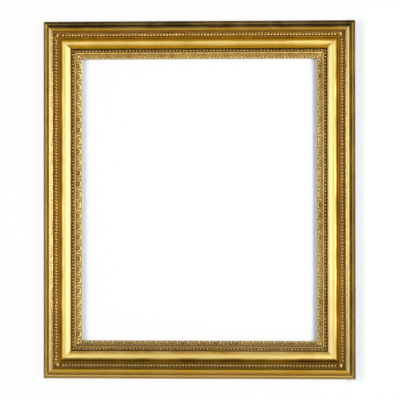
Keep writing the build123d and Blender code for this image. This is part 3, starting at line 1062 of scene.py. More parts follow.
@dataclass
class Mouldings:
    """The gilded face and sight mouldings, drawn as (inward from the outer edge, forward from the back)."""

    glue_plane: float = 12.0
    bead_radius: float = 4.5
    bead_base: float = 23.5
    quirk_at: float = 2.9
    quirk_width: float = 0.8
    quirk_drop: float = 1.1
    hollow_at: float = 10.0
    hollow_depth: float = 0.8
    top_edge_at: float = 14.5
    top_edge_base: float = 42.0
    top_edge_fillet: float = 1.0
    top_edge_radius: float = 4.0
    top_edge_fullness: float = 5.0
    scotia_at: float = 22.5
    scotia_fillet: float = 1.5
    scotia_depth: float = 1.5
    ribbon_seat_at: float = 26.0
    ribbon_seat: float = 29.0
    foot_at: float = 34.5
    foot_height: float = 3.0
    foot_depth: float = 0.9
    cushion_at: float = 38.5
    cushion_top: float = 38.0
    cushion_crest: float = 6.2
    crest_radius: float = 12.0
    crest_turn: float = 8.0
    slope_radius: float = 27.0
    roll_radius: float = 3.5
    pearl_seat_at: float = 58.8
    pearl_seat: float = 23.5
    fillet_at: float = 66.2
    fillet_top: float = 25.0
    leaf_at: float = 68.4
    leaf_top: float = 23.6
    lip_at: float = 75.8
    lip_top: float = 17.6
    lip_flat: float = 0.8
    lip_radius: float = 2.2
    ledge_at: float = 72.3
    ledge_step: float = 0.5
    rail_width: float = 78.8
    hidden_step: float = 9.0
    hidden_top: float = 3.0
    face_soft_from: float = 4.0
    sight_soft_from: float = 2.0
    skyline_from: float = 1.0
    ledge_end: float = 1.0
    waviness: float = 0.14
    wave_length: float = 46.0

    @property
    def ribbon_line(self) -> float:
        """Middle of the ribbon's seat."""
        return (self.ribbon_seat_at + self.foot_at) / 2

    @property
    def pearl_line(self) -> float:
        """Middle of the pearls' seat."""
        return (self.pearl_seat_at + self.fillet_at) / 2

    def face(self, rail_dust_and_shade: RailDustAndShade) -> Outline:
        """Line of the face moulding, from behind the cushion round the outer side and over the front.

        Args:
            rail_dust_and_shade: Dust and painted shade of the rail.

        Returns:
            The closed line.
        """
        line = Outline((self.pearl_seat_at, self.glue_plane))
        # The bead's dust is partly painted shade, more on the top and right rails
        dust = rail_dust_and_shade.bead
        line.run((0.0, self.glue_plane), RAW, self.hidden_step)
        shoulder = self.bead_base + self.bead_radius - self.quirk_drop - self.quirk_at
        line.run((0.0, shoulder), Skin(patina=1.0, wash=0.6, dust=0.4 * dust))
        line.turn((self.quirk_at, shoulder), -90, Skin(patina=0.55, wash=0.35, dust=dust))
        small = (2 * self.bead_radius - self.quirk_at - self.quirk_width) / 2
        bead = (self.quirk_at + self.quirk_width + small, self.bead_base + self.bead_radius - small)
        # Painted shade darkens the quirk, and painted light, where it is below 0, lightens the bead's crest
        # and the groove
        quirk = Skin(patina=0.6, dust=dust, painted_shade=0.3)
        line.run((self.quirk_at + self.quirk_width / 2, shoulder + self.quirk_at - self.quirk_drop), quirk)
        line.run((bead[0] - small, bead[1]), quirk)
        line.turn(bead, -180, Skin(patina=0.45, dust=0.9 * dust, painted_shade=-0.1))
        groove = Skin(patina=0.3, dust=dust, painted_shade=-0.6)
        line.run((self.hollow_at, self.bead_base), groove)
        base = self.top_edge_base - self.top_edge_fillet
        middle = ((self.hollow_at + self.top_edge_at) / 2 + self.hollow_depth, (self.bead_base + base) / 2)
        line.bow(middle, (self.top_edge_at, base), groove)
        line.run((self.top_edge_at, self.top_edge_base), groove)
        # The crown of the top and bottom rails is dulled and darkened as painted shade; the shoulder's dust
        # is partly painted shade
        painted_shade = 0.8 * rail_dust_and_shade.crown
        line.crown(2 * self.top_edge_radius, self.top_edge_radius, self.top_edge_fullness,
                   Skin(polish=0.7, patina=0.55 + 0.5 * rail_dust_and_shade.crown, dust=rail_dust_and_shade.shoulder, painted_shade=painted_shade),
                   Skin(polish=1.0, patina=1.4 * rail_dust_and_shade.crown, painted_shade=painted_shade))
        base = self.top_edge_base - self.scotia_fillet
        # Painted shade darkens the scotia and its foot, painted light lightens the lower scotia, and its dust
        # is partly painted shade
        cove = Skin(dust=rail_dust_and_shade.scotia, painted_shade=0.12)
        line.run((self.scotia_at, base), cove)
        pull = self.scotia_depth / 2
        middle = ((self.scotia_at + self.ribbon_seat_at) / 2 - pull, (base + self.ribbon_seat) / 2 - pull)
        line.bow(middle, (self.ribbon_seat_at, self.ribbon_seat), cove, Skin(dust=rail_dust_and_shade.scotia, painted_shade=-0.25))
        line.run((self.foot_at, self.ribbon_seat), cove)
        pull = self.foot_depth * math.sqrt(0.5)
        foot = self.ribbon_seat + self.foot_height
        middle = ((self.foot_at + self.cushion_at) / 2 + pull, (self.ribbon_seat + foot) / 2 - pull)
        line.bow(middle, (self.cushion_at, foot), Skin(dust=rail_dust_and_shade.scotia, painted_shade=0.35))
        self.cushion(line, rail_dust_and_shade)
        # The seat of the pearls takes painted shade from the cushion's slope and its own
        line.run((self.pearl_seat_at, self.pearl_seat), Skin(painted_shade=rail_dust_and_shade.slope + rail_dust_and_shade.seat))
        # The hidden side behind the cushion stays sharp
        line.run((self.pearl_seat_at, self.glue_plane + self.hidden_top), RAW, self.hidden_step)
        line.soften(self.glue_plane + self.face_soft_from)
        return line

    def cushion(self, line: Outline, rail_dust_and_shade: RailDustAndShade) -> None:
        """Draw the cushion from its foot: a tight roll, a rounded crest and a flatter slope to the pearls.

        Args:
            line: Line of the face moulding up to the foot.
            rail_dust_and_shade: Dust and painted shade of the rail.
        """
        # The cushions of the left and right rails take paler leaf as a painted highlight
        satin = Skin(polish=0.1, clean=rail_dust_and_shade.cushion_highlight)
        crest = Vector((self.cushion_at + self.cushion_crest, self.cushion_top - self.crest_radius))
        shift = self.cushion_crest - self.roll_radius
        gap = self.crest_radius - self.roll_radius
        roll = Vector((self.cushion_at + self.roll_radius, crest.y + math.sqrt(gap * gap - shift * shift)))
        meeting = math.degrees(math.acos(shift / gap))
        # Painted shade darkens the roll and the outer side of the crest, more on some rails, and their dust
        # is partly painted shade
        painted_shade = 0.35 + rail_dust_and_shade.slope / 2
        line.run((self.cushion_at, roll.y), Skin(dust=rail_dust_and_shade.roll, painted_shade=0.3))
        line.turn(roll, -meeting * 0.6, Skin(dust=rail_dust_and_shade.roll, painted_shade=0.35))
        line.turn(roll, -meeting * 0.4, Skin(dust=rail_dust_and_shade.roll, painted_shade=painted_shade))
        line.turn(crest, meeting - 90, Skin(dust=rail_dust_and_shade.roll * 0.75, painted_shade=painted_shade))
        line.turn(crest, -self.crest_turn, satin)
        lean = math.radians(self.crest_turn)
        slope = crest - Vector((math.sin(lean), math.cos(lean))) * (self.slope_radius - self.crest_radius)
        last = math.degrees(math.asin((self.pearl_seat_at - slope.x) / self.slope_radius))
        for share in (0.6, 1.0):
            line.turn(slope, 0.5 * (self.crest_turn - last), replace(satin, painted_shade=share * rail_dust_and_shade.slope))

    def sight(self, rail_dust_and_shade: RailDustAndShade) -> Outline:
        """Line of the sight moulding, from the rebate ledge round behind and over the front to the lip.

        Args:
            rail_dust_and_shade: Dust and painted shade of the rail.

        Returns:
            The closed line.
        """
        ledge = self.glue_plane + self.ledge_step
        line = Outline((self.ledge_at, ledge))
        line.run((self.ledge_at, self.glue_plane), RAW)
        line.run((self.pearl_seat_at, self.glue_plane), RAW, self.hidden_step)
        line.run((self.pearl_seat_at, self.pearl_seat), step=4.0)
        # Painted shade darkens the seat of the pearls, and painted light lightens the fillet and the lip
        line.run((self.fillet_at, self.pearl_seat), Skin(painted_shade=rail_dust_and_shade.seat))
        # The sight leaf is dulled as patina and painted shade, least on the top rail, and its dust is partly
        # painted shade
        dull = Skin(patina=rail_dust_and_shade.patina_and_shade, dust=rail_dust_and_shade.lip)
        line.run((self.fillet_at, self.fillet_top), replace(dull, painted_shade=-0.3))
        line.run((self.leaf_at, self.fillet_top), dull)
        line.run((self.leaf_at, self.leaf_top), dull)
        line.run((self.lip_at, self.lip_top), dull)
        lip = Skin(patina=0.3 * rail_dust_and_shade.patina_and_shade, dust=rail_dust_and_shade.lip, painted_shade=-0.3)
        line.run((self.lip_at + self.lip_flat, self.lip_top), lip)
        line.turn((self.lip_at + self.lip_flat, self.lip_top - self.lip_radius), -90, lip)
        line.run((self.rail_width, ledge), Skin(patina=0.8, wash=0.4, dust=rail_dust_and_shade.lip))
        # The underside stays sharp
        line.run((self.ledge_at + self.ledge_end, ledge), RAW, step=3.0)
        line.soften(self.glue_plane + self.sight_soft_from, passes=1)
        return line

    def build(self, side: Side, trees: Trees, finish: Material) -> None:
        """Sweep both mouldings of a side.

        Args:
            side: Side of the frame.
            trees: Trees that shape the pieces.
            finish: Gilding of the mouldings.
        """
        face, sight = self.face(RAIL_DUST_AND_SHADE[side]), self.sight(RAIL_DUST_AND_SHADE[side])
        level = self.glue_plane + self.skyline_from
        skyline = [point for point in face.points + sight.points if point.y > level]
        for name, line in (("face", face), ("sight", sight)):
            mesh = grow(trees.sweep, rail_path(side.half), {
                "Section": line.section(skyline), "Half": side.half, "Mitre": 1.0,
                "Waviness": self.waviness, "Wave Length": self.wave_length,
                "Seed": float(side.seed), "Finish": finish,
            })
            mesh.transform(side.place)
            show(f"gilt_{name}_{side.label}", mesh, FIXED, MOULDED, f"{name}_moulding_{side.label}")


def rail_path(half: float, step: float = 9.0, seam: float = 1.3) -> Mesh:
    """Path of a rail up Z, its stations close together at the mitres.

    Args:
        half: Half the length.
        step: Distance between stations along the rail.
        seam: How far from the mitre the dark line of the joint reaches.

    Returns:
        The mesh of the path, marked with the joint.
    """
    ends = [0.0, 0.4, 0.9, 1.6, 2.6, 4.2, 6.6]
    count = round((2 * half - 2 * ends[-1]) / step)
    inner = half - ends[-1]
    levels = [-half + end for end in ends]
    levels += [-inner + 2 * inner * at / count for at in range(1, count)]
    levels += [half - end for end in reversed(ends)]
    joint = [max(0.0, 1 - (half - abs(level)) / seam) for level in levels]
    return line_mesh([(0.0, 0.0, level) for level in levels], False, {JOINT: joint})


def strip_section(points: list[tuple[float, float]], recess: float, patina: float = 0.0) -> Mesh:
    """Section of a strip that ornament stands on, evenly closed in and evenly dull."""
    marks = {RECESS: [recess] * len(points), PATINA: [patina] * len(points)}
    return line_mesh([(u, h, 0.0) for u, h in points], True, marks)


@dataclass
class RoundStrip:
    """A rounded strip along a rail that ornament stands on."""

    base_width: float = 4.6
    base_height: float = 1.0
    base_steps: int = 6
    base_recess: float = 0.8
    sunk: float = 0.4

    def section(self, middle: float, seat: float) -> Mesh:
        """Section of the strip.

        Args:
            middle: Place of its middle across the rail.
            seat: Height of its seat.

        Returns:
            The mesh of the closed line.
        """
        turns = [math.pi * at / self.base_steps for at in range(self.base_steps + 1)]
        half = self.base_width / 2
        arch = [(middle - half * math.cos(a), seat + self.base_height * math.sin(a)) for a in turns]
        foot = seat - self.sunk
        return strip_section([(arch[0][0], foot), *arch, (arch[-1][0], foot)], self.base_recess)


@dataclass
class PearlString(RoundStrip):
    """A string of pearls along a rail, on a rounded thread."""

    radius: float = 2.9
    pitch: float = 7.0
    segments: int = 10
    tilts: tuple[int, ...] = (92, 70, 48, 24)
    spread: float = 0.03

    def unit(self) -> Mesh:
        """One pearl, in the rail's frame.

        Returns:
            The mesh.
        """
        levels = [(math.sin(tilt), self.radius * math.cos(tilt)) for tilt in map(math.radians, self.tilts)]
        ball = boss(self.radius, levels, self.segments, self.radius, -self.sunk)
        mesh = mark_relief(ball, 0.1 * self.radius, self.radius)
        mesh.transform(ON_RAIL)
        return mesh

    def build(self, side: Side, rail: Mouldings, trees: Trees, finish: Material) -> None:
        """Set the pearls of a side; the string of the top and bottom also holds the corner pearls.

        Args:
            side: Side of the frame.
            rail: Mouldings that carry the string.
            trees: Trees that shape the pieces.
            finish: Gilding of the ornament.
        """
        section = self.section(rail.pearl_line, rail.pearl_seat)
        base = grow(trees.sweep, rail_path(side.half), {
            "Section": section, "Half": side.half, "Mitre": 1.0, "Finish": finish,
        })
        reach = side.half - rail.pearl_line
        gaps = round(2 * reach / self.pitch)
        pitch = 2 * reach / gaps
        corners = side in (Side.TOP, Side.BOTTOM)
        first = -reach if corners else pitch - reach
        mesh = grow(trees.row, base, {
            "Unit": self.unit(), "First": (rail.pearl_line, rail.pearl_seat + self.base_height, first),
            "Step": (0.0, 0.0, pitch), "Count": gaps + 1 if corners else gaps - 1,
            "Spread": self.spread, "Seed": side.seed, "Finish": finish,
        })
        mesh.transform(side.place)
        show(f"pearls_{side.label}", mesh, FIXED, CAST, f"pearl_string_{side.label}")


@dataclass
class LeafStrip:
    """Leaf-and-dart ornament down the slope to the sight edge, with a parted leaf at each mitre."""

    margin: float = 0.9
    base_height: float = 1.2
    pitch: float = 22.5
    width: float = 16.0
    relief: float = 1.5
    vein: float = 0.2
    rib: float = 0.82
    dart_length: float = 9.5
    dart_width: float = 10.0
    dart_relief: float = 1.8
    dart_swell: float = 1.8
    berry_radius: float = 1.8
    berry_foot: float = 1.2
    berry_at: float = 3.4
    berry_segments: int = 8
    mitre_width: float = 7.0
    mitre_gap: float = 0.25
    over_fillet: float = 1.0
    over_lip: float = 2.3
    hollow: float = 0.1
    sunk: float = 1.0
    spread: float = 0.02

    def slope(self, rail: Mouldings) -> tuple[Vector, Vector, Vector, float]:
        """Where the strip lies on its rail.

        Args:
            rail: Mouldings that carry the strip.

        Returns:
            Its upper edge, the direction down the slope and the outward normal, all as (inward, forward),
            and its width.
        """
        edge = Vector((rail.leaf_at, rail.leaf_top))
        down = Vector((rail.lip_at, rail.lip_top)) - edge
        way = down.normalized()
        return edge + way * self.margin, way, Vector((-way.y, way.x)), down.length - 2 * self.margin

    def outline(self, length: float) -> list[tuple[float, float]]:
        """Heart-shaped edge of a leaf from its notch round to its point and back.

        Args:
            length: Length of the leaf from lobes to point.

        Returns:
            Points of the edge, X along the rail and Y towards the opening.
        """
        half = self.width / 2
        shoulder = Vector((half, 0.4 * length))
        lobe = (Vector((0, 0.1 * length)), Vector((0.66 * half, -0.2 * length)), shoulder)
        flank = (shoulder, Vector((0.9 * half, 0.78 * length)), Vector((0, length)))
        edge = [bend(*lobe, at / 5) for at in range(5)] + [bend(*flank, at / 6) for at in range(7)]
        return [(p.x, p.y) for p in edge] + [(-p.x, p.y) for p in edge[-2:0:-1]]

    def leaf(self, length: float) -> Mesh:
        """One leaf: a raised rim round a hollow, with a rib down its middle and veins to its edge.

        Args:
            length: Length of the leaf.

        Returns:
            The mesh.
        """
        edge = self.outline(length)
        middle = Vector((0, 0.44 * length))
        rings = []
        for share, height in ((1.0, 0.3), (0.93, 0.98), (0.8, 0.86), (0.62, 0.46), (0.34, 0.42)):
            inside = share < 0.9
            ring = []
            for index, (x, y) in enumerate(edge):
                point = middle.lerp(Vector((x, y)), share)
                rib = self.rib if inside and abs(x) < TINY else 0.0
                vein = self.vein if inside and index % 2 else 0.0
                ring.append((point.x, point.y, self.relief * max(height + vein, rib)))
            rings.append(ring)
        mesh = ring_relief(rings, (0, middle.y, 0.8 * self.relief), -self.sunk)
        return mark_relief(mesh, self.hollow, self.relief)

    def dart(self, length: float) -> Mesh:
        """One tongue between two leaves that widens to the sight edge, and the berry on it.

        Args:
            length: Length of the leaves beside it.

        Returns:
            The mesh.
        """
        half = self.dart_width / 2
        top = length - self.dart_length
        right = [(0.2 * half, top + 0.5), (0.42 * half, 0.6 * length), (0.75 * half, 0.82 * length),
                 (half, length - 0.2), (0.55 * half, length + 0.15)]
        edge = [(0, top), *right, (0, length + 0.3), *[(-x, y) for x, y in reversed(right)]]
        centre = Vector((0, length - self.dart_swell))
        rings = [
            [(*centre.lerp(Vector(p), share), self.dart_relief * height) for p in edge]
            for share, height in ((1.0, 0.3), (0.8, 0.85))
        ]
        spear = ring_relief(rings, (0, length - self.dart_swell, self.dart_relief), -self.sunk)
        levels = [
            (share, self.berry_foot + self.berry_radius * height)
            for share, height in ((1.0, 0.0), (0.92, 0.4), (0.7, 0.72), (0.36, 0.93))
        ]
        top = self.berry_foot + self.berry_radius
        berry = boss(self.berry_radius, levels, self.berry_segments, top, -self.sunk, length - self.berry_at)
        return joined(mark_relief(spear, self.hollow, self.dart_relief),
                      mark_relief(berry, self.hollow, 0.6 * top))

    def parted_leaf(self, length: float, reach: float, slant: float, end: int) -> Mesh:
        """Half of the leaf that lies along a mitre, in the strip's own frame.

        Args:
            length: Width of the strip.
            reach: Distance from the middle of the rail to the mitre at the upper edge.
            slant: How far the mitre comes in along the rail for each step down the slope.
            end: 1 or -1 for the end of the rail.

        Returns:
            The mesh.
        """
        section = ((0.0, 0.25), (0.1, 0.95), (0.34, 1.0), (0.6, 0.45), (0.84, 0.85), (1.0, 0.2))
        rows = []
        for step in range(9):
            t = step / 8
            width = self.mitre_width * (0.12 + math.sin(math.pi * min(1.0, 0.08 + 0.92 * t)) ** 0.8)
            fade = math.sin(math.pi * (0.12 + 0.8 * t))
            row = []
            for share, height in section:
                along = reach - slant * t * length - width * share - self.mitre_gap
                row.append((end * along, t * length, self.relief * height * fade))
            rows.append(row)
        return mark_relief(row_relief(rows, -self.sunk), self.hollow, self.relief)

    def build(self, side: Side, rail: Mouldings, trees: Trees, finish: Material) -> None:
        """Set the leaves and darts of a side.

        Args:
            side: Side of the frame.
            rail: Mouldings that carry the strip.
            trees: Trees that shape the pieces.
            finish: Gilding of the ornament.
        """
        start, way, normal, length = self.slope(rail)
        end = start + way * length
        sink = normal * self.sunk
        lift = normal * self.base_height
        face = start + lift
        section = strip_section([tuple(p) for p in (start - sink, face, end + lift, end - sink)], 0.25, 0.15)
        mesh = grow(trees.sweep, rail_path(side.half), {
            "Section": section, "Half": side.half, "Mitre": 1.0, "Finish": finish,
        })
        stand = Matrix((
            (0, way.x, normal.x, face.x), (0, way.y, normal.y, face.y), (1, 0, 0, 0), (0, 0, 0, 1),
        ))
        place = stand.copy()
        place.translation = (0, 0, 0)
        count = int((2 * (side.half - end.x) + self.pitch / 4) / self.pitch)
        first = -(count - 1) / 2 * self.pitch
        full = length + self.over_fillet + self.over_lip
        rows = ((self.leaf(full), first, count), (self.dart(full), first - self.pitch / 2, count + 1))
        for unit, begin, number in rows:
            unit.transform(place @ Matrix.Translation((0, -self.over_fillet, 0)))
            mesh = grow(trees.row, mesh, {
                "Unit": unit, "First": (face.x, face.y, begin), "Step": (0.0, 0.0, self.pitch),
                "Count": number, "Spread": self.spread, "Seed": side.seed, "Finish": finish,
            })
        halves = [self.parted_leaf(length, side.half - face.x, way.x, turn) for turn in (1, -1)]
        for half in halves:
            half.transform(stand)
        finished = joined(mesh, *halves)
        finished.materials.append(finish)
        finished.transform(side.place)
        show(f"leaves_{side.label}", finished, FIXED, CAST, f"leaf_strip_{side.label}")


@dataclass
class RibbonStrip(RoundStrip):
    """A ribbon wound round a rod, in the scotia between two corner leaves."""

    base_width: float = 7.6
    base_height: float = 2.1
    base_steps: int = 8
    base_recess: float = 0.7
    pitch: float = 6.6
    strand_width: float = 5.2
    strand_length: float = 8.2
    relief: float = 3.6
    slant: float = 2.7
    crest_shift: float = 3.2
    top_shift: float = 0.2
    bottom_shift: float = 2.2
    upright_shift: float = 1.4
    end_gap: float = 0.5
    spread: float = 0.1

    def strand(self, shift: float) -> Mesh:
        """One turn of the ribbon, in the rail's frame, with its middle on the seat.

        Args:
            shift: How far its crest lies from its middle towards the outside of the frame.

        Returns:
            The mesh.
        """
        half = self.base_width / 2
        rows = []
        for step in range(7):
            v = -1 + 2 * step / 6
            across = 0.94 * half * math.sin(v * math.pi / 2)
            along = self.slant * (0.7 * v + 0.3 * v ** 3)
            wide = self.strand_width / 2 * (1 - 0.3 * v * v)
            span = half + math.copysign(shift, across + shift)
            arch = max(0.0, 1 - ((across + shift) / (1.04 * span)) ** 2)
            if across < -shift:
                arch = math.sqrt(arch)
            rows.append([
                (along + wide * share, across, self.relief * height * arch)
                for share, height in ((-1.0, 0.55), (-0.5, 0.95), (0.0, 0.82), (0.5, 0.95), (1.0, 0.55))
            ])
        mesh = mark_relief(row_relief(rows, -self.sunk), 0.3 * self.relief, 0.85 * self.relief)
        mesh.transform(ON_RAIL)
        return mesh

    def build(self, side: Side, rail: Mouldings, leaf_length: float, trees: Trees, finish: Material) -> None:
        """Wind the ribbon of a side.

        Args:
            side: Side of the frame.
            rail: Mouldings that carry the ribbon.
            leaf_length: Length of the corner leaves that it stops at.
            trees: Trees that shape the pieces.
            finish: Gilding of the ornament.
        """
        reach = side.half - rail.ribbon_line - leaf_length / 2 - self.end_gap
        section = self.section(rail.ribbon_line, rail.ribbon_seat)
        base = grow(trees.sweep, rail_path(reach), {
            "Section": section, "Half": reach, "Mitre": 0.0, "Finish": finish,
        })
        count = int((2 * reach - self.strand_length) / self.pitch) + 1
        first = -(count - 1) / 2 * self.pitch
        level = {Side.TOP: self.top_shift, Side.BOTTOM: self.bottom_shift}
        line = rail.ribbon_line - (0.0 if side in level else self.upright_shift)
        mesh = grow(trees.row, base, {
            "Unit": self.strand(level.get(side, self.crest_shift)), "First": (line, rail.ribbon_seat, first),
            "Step": (0.0, 0.0, self.pitch), "Count": count, "Spread": self.spread, "Seed": side.seed,
            "Finish": finish,
        })
        mesh.transform(side.place)
        show(f"ribbon_{side.label}", mesh, FIXED, CAST, f"ribbon_strip_{side.label}")


@dataclass
class CornerLeaf:
    """A leaf over the mitre of the scotia, parted down its middle, with lobed edges."""

    length: float = 12.0
    width: float = 9.0
    height: float = 4.2
    sunk: float = 0.4

    def build(self, corner: Corner, rail: Mouldings, finish: Material) -> None:
        """Carve the leaf of a corner.

        Args:
            corner: Corner of the frame.
            rail: Mouldings that carry the leaf.
            finish: Gilding of the ornament.
        """
        right = [(0.2, 0.92), (0.5, 1.0), (0.8, 0.72), (1.0, 0.3)]
        section = [(-share, height) for share, height in reversed(right)] + [(0.0, 0.5)] + right
        rows = []
        for step in range(15):
            t = step / 14
            swell = math.sin(math.pi * (0.04 + 0.92 * t)) ** 0.7
            lobes = 1 + 0.14 * math.cos(6 * math.pi * t)
            row = []
            for share, height in section:
                vein = 1 + 0.1 * math.cos(6 * math.pi * t) * abs(share)
                row.append((
                    share * self.width / 2 * swell * lobes, (t - 0.5) * self.length,
                    self.height * height * vein * swell / 1.06,
                ))
            rows.append(row)
        mesh = mark_relief(row_relief(rows, -self.sunk), 0.2 * self.height, 0.95 * self.height)
        mesh.materials.append(finish)
        mesh.transform(corner.place(rail.ribbon_line, rail.ribbon_seat))
        show(f"leaf_corner_{corner.label}", mesh, FIXED, CAST, f"corner_leaf_{corner.label}")


@dataclass
class SlottedScrew:
    """A slotted screw seen from its head, which faces +Y and sits at the origin."""

    radius: float
    height: float
    shank_radius: float
    shank_length: float = 3.0
    shank_overlap: float = 0.05
    shank_segments: int = 12
    slot_width: float = 0.9
    slot_depth: float = 0.8
    slot_reach: float = 0.9
    slot_foot: float = 0.45
    segments: int = 24

    def unit(self) -> Mesh:
        """Mesh of the head with its slot and the top of the shank, in metres.

        Returns:
            The mesh.
        """
        profile = ((1.0, 0.2), (0.96, 0.5), (0.8, 0.8), (0.5, 0.96))
        levels = [(share, self.height * height) for share, height in profile]
        mesh = boss(self.radius, levels, self.segments, self.height, 0.0)
        with editing(mesh) as work:
            for side in (1, -1):
                everything = work.verts[:] + work.edges[:] + work.faces[:]
                edge = (0, side * self.slot_width / 2, 0)
                bmesh.ops.bisect_plane(work, geom=everything, plane_co=edge, plane_no=(0, 1, 0))
            floor = []
            for face in work.faces:
                x, y, z = face.calc_center_median()
                inside = abs(y) < self.slot_width / 2 and math.hypot(x, y) < self.slot_reach * self.radius
                if inside and z > self.slot_foot * self.height:
                    floor.append(face)
            cut = bmesh.ops.extrude_face_region(work, geom=floor)
            bmesh.ops.delete(work, geom=floor, context="FACES")
            for vert in [item for item in cut["geom"] if isinstance(item, bmesh.types.BMVert)]:
                vert.co.z = self.height - self.slot_depth
            sunk = Matrix.Translation((0, 0, -self.shank_length / 2 + self.shank_overlap))
            bmesh.ops.create_cone(
                work, cap_ends=True, segments=self.shank_segments, radius1=self.shank_radius,
                radius2=self.shank_radius, depth=self.shank_length, matrix=sunk,
            )
        upright = Matrix(((1, 0, 0), (0, 0, 1), (0, -1, 0))).to_4x4()
        mesh.transform(upright @ Matrix.Scale(MM, 4))
        return mesh

    def build(self, name: str, places: list[tuple], trees: Trees, finish: Material, slot: str, node: str,
              seed: int) -> None:
        """Drive a screw at each place.

        Args:
            name: Name of the piece.
            places: Places of the heads in millimetres.
            trees: Trees that shape the pieces.
            finish: Metal of the screws.
            slot: Material slot of the record.
            node: Solid that the screws stand for.
            seed: Seed of how they are turned.
        """
        points = new_mesh("places", [[value * MM for value in place] for place in places], [])
        mesh = grow(trees.fasteners, points, {"Unit": self.unit(), "Seed": seed, "Finish": finish})
        show(name, mesh, FIXED, slot, node)


@dataclass
class BackFrame:
    """The pegged pine back frame, its keys and the screws into the face moulding."""

    screw_inward: float = 30.25
    screw_end: float = 130.0
    screw_top: float = -1.1

    def dress(self, trees: Trees, steel: Material) -> None:
        """Give the members their wood and drive the screws.

        Args:
            trees: Trees that shape the pieces.
            steel: Metal of the screws.
        """
        across = OldWood("aged_pine_rails", Grain.ACROSS).make()
        upright = OldWood("aged_pine_stiles", Grain.UPRIGHT).make()
        hardwood = OldWood("oak_pegs", Grain.UPRIGHT, early="#8d6b43", late="#5d4125", dust="#4a3826",
                           ring_width=2.0, pore_width=0.5).make()
        for node, wood in (
            ("back_rail_top", across), ("back_rail_bottom", across), ("back_stile_left", upright),
            ("back_stile_right", upright), ("lap_pegs", hardwood), ("mitre_keys", hardwood),
        ):
            dress(node, wood)
        places = []
        for side in Side:
            for along in (-1, 0, 1):
                at = side.place @ Vector((self.screw_inward, 0, along * (side.half - self.screw_end)))
                places.append((at.x / MM, self.screw_top, at.z / MM))
        screw = SlottedScrew(radius=3.7, height=0.8, shank_radius=2.0)
        screw.build("frame_screw_heads", places, trees, steel, "steel_screws", "frame_screws", 5)


@dataclass
class Hangers:
    """Strap hangers with their rings, screwed to the stiles."""

    plate_thickness: float = 1.5
    screw_drops: tuple[float, float] = (27.5, 38.5)
    inward: float = 42.0
    drop: float = 125.0

    def dress(self, trees: Trees, brass: Material) -> None:
        """Give plates and rings their brass and drive their screws.

        Args:
            trees: Trees that shape the pieces.
            brass: Metal of the hangers.
        """
        for label in ("left", "right"):
            dress(f"hanger_plate_{label}", brass)
            dress(f"hanger_ring_{label}", brass)
        across = Side.RIGHT.reach(Side.RIGHT.inward) / MM - self.inward
        up = Side.TOP.reach(Side.TOP.inward) / MM - self.drop
        places = [
            (turn * across, self.plate_thickness, up - drop) for turn in (1, -1) for drop in self.screw_drops
        ]
        screw = SlottedScrew(radius=3.4, height=2.0, shank_radius=1.7)
        screw.build("hanger_screw_heads", places, trees, brass, "brass", "hanger_screws", 9)


@dataclass
class TurnButtons:
    """Brass turn buttons that hold a picture in the rebate, each on a round-headed screw."""

    across: float = 262.5
    up: float = 150.0
    radius: float = 6.0
    radius_steps: int = 24
    tip_radius: float = 4.5
    tip_steps: int = 16
    reach: float = 22.0
    thickness: float = 1.6
    seat_gap: float = 0.3
    bore: float = 2.15
    head_gap: float = 0.2
    softness: float = 0.35
    soft_from: float = 60.0

    def unit(self) -> Mesh:
        """Mesh of a button that points down, its pivot at the origin and its seat at Y 0, in millimetres.

        Returns:
            The mesh.
        """
        drop = self.reach - self.tip_radius
        lean = math.asin((self.radius - self.tip_radius) / drop)
        edge = []
        for radius, level, start, turn, steps in (
            (self.radius, 0.0, -lean, math.pi + 2 * lean, self.radius_steps),
            (self.tip_radius, -drop, math.pi + lean, math.pi - 2 * lean, self.tip_steps),
        ):
            for at in range(steps + 1):
                angle = start + turn * at / steps
                edge.append((radius * math.cos(angle), level + radius * math.sin(angle)))
        count = len(edge)
        bore = [(self.bore * x / math.hypot(x, z), self.bore * z / math.hypot(x, z)) for x, z in edge]
        points = [(x, y, z) for y in (0.0, self.thickness) for line in (edge, bore) for x, z in line]
        faces = []
        for at in range(count):
            after = (at + 1) % count
            ring = [at, after, count + after, count + at]
            faces.append(ring)
            faces.append([2 * count + place for place in reversed(ring)])
            faces.append([after, at, 2 * count + at, 2 * count + after])
            faces.append([count + at, count + after, 3 * count + after, 3 * count + at])
        mesh = new_mesh("button", points, faces)
        with editing(mesh) as work:
            bmesh.ops.recalc_face_normals(work, faces=work.faces)
            sharp = math.radians(self.soft_from)
            rim = [e for e in work.edges if len(e.link_faces) == 2 and e.calc_face_angle() > sharp]
            bmesh.ops.bevel(work, geom=rim, offset=self.softness, segments=2, affect="EDGES", profile=0.6)
        return mesh

    def build(self, trees: Trees, brass: Material) -> None:
        """Make the four buttons and their screws.

        Args:
            trees: Trees that shape the pieces.
            brass: Metal of the buttons.
        """
        places = []
        for side, turn in (("left", -1), ("right", 1)):
            for level, rise in (("upper", 1), ("lower", -1)):
                at = Vector((turn * self.across, self.seat_gap, rise * self.up))
                mesh = self.unit()
                mesh.materials.append(brass)
                mesh.transform(Matrix.Scale(MM, 4) @ Matrix.Translation(at))
                node = f"turn_button_{side}_{level}"
                show(f"button_{side}_{level}", mesh, node, "brass", node)
                places.append((at.x, self.seat_gap + self.thickness + self.head_gap, at.z))
        screw = SlottedScrew(radius=4.0, height=2.4, shank_radius=1.95)
        screw.build("button_screw_heads", places, trees, brass, "brass", "button_screws", 13)


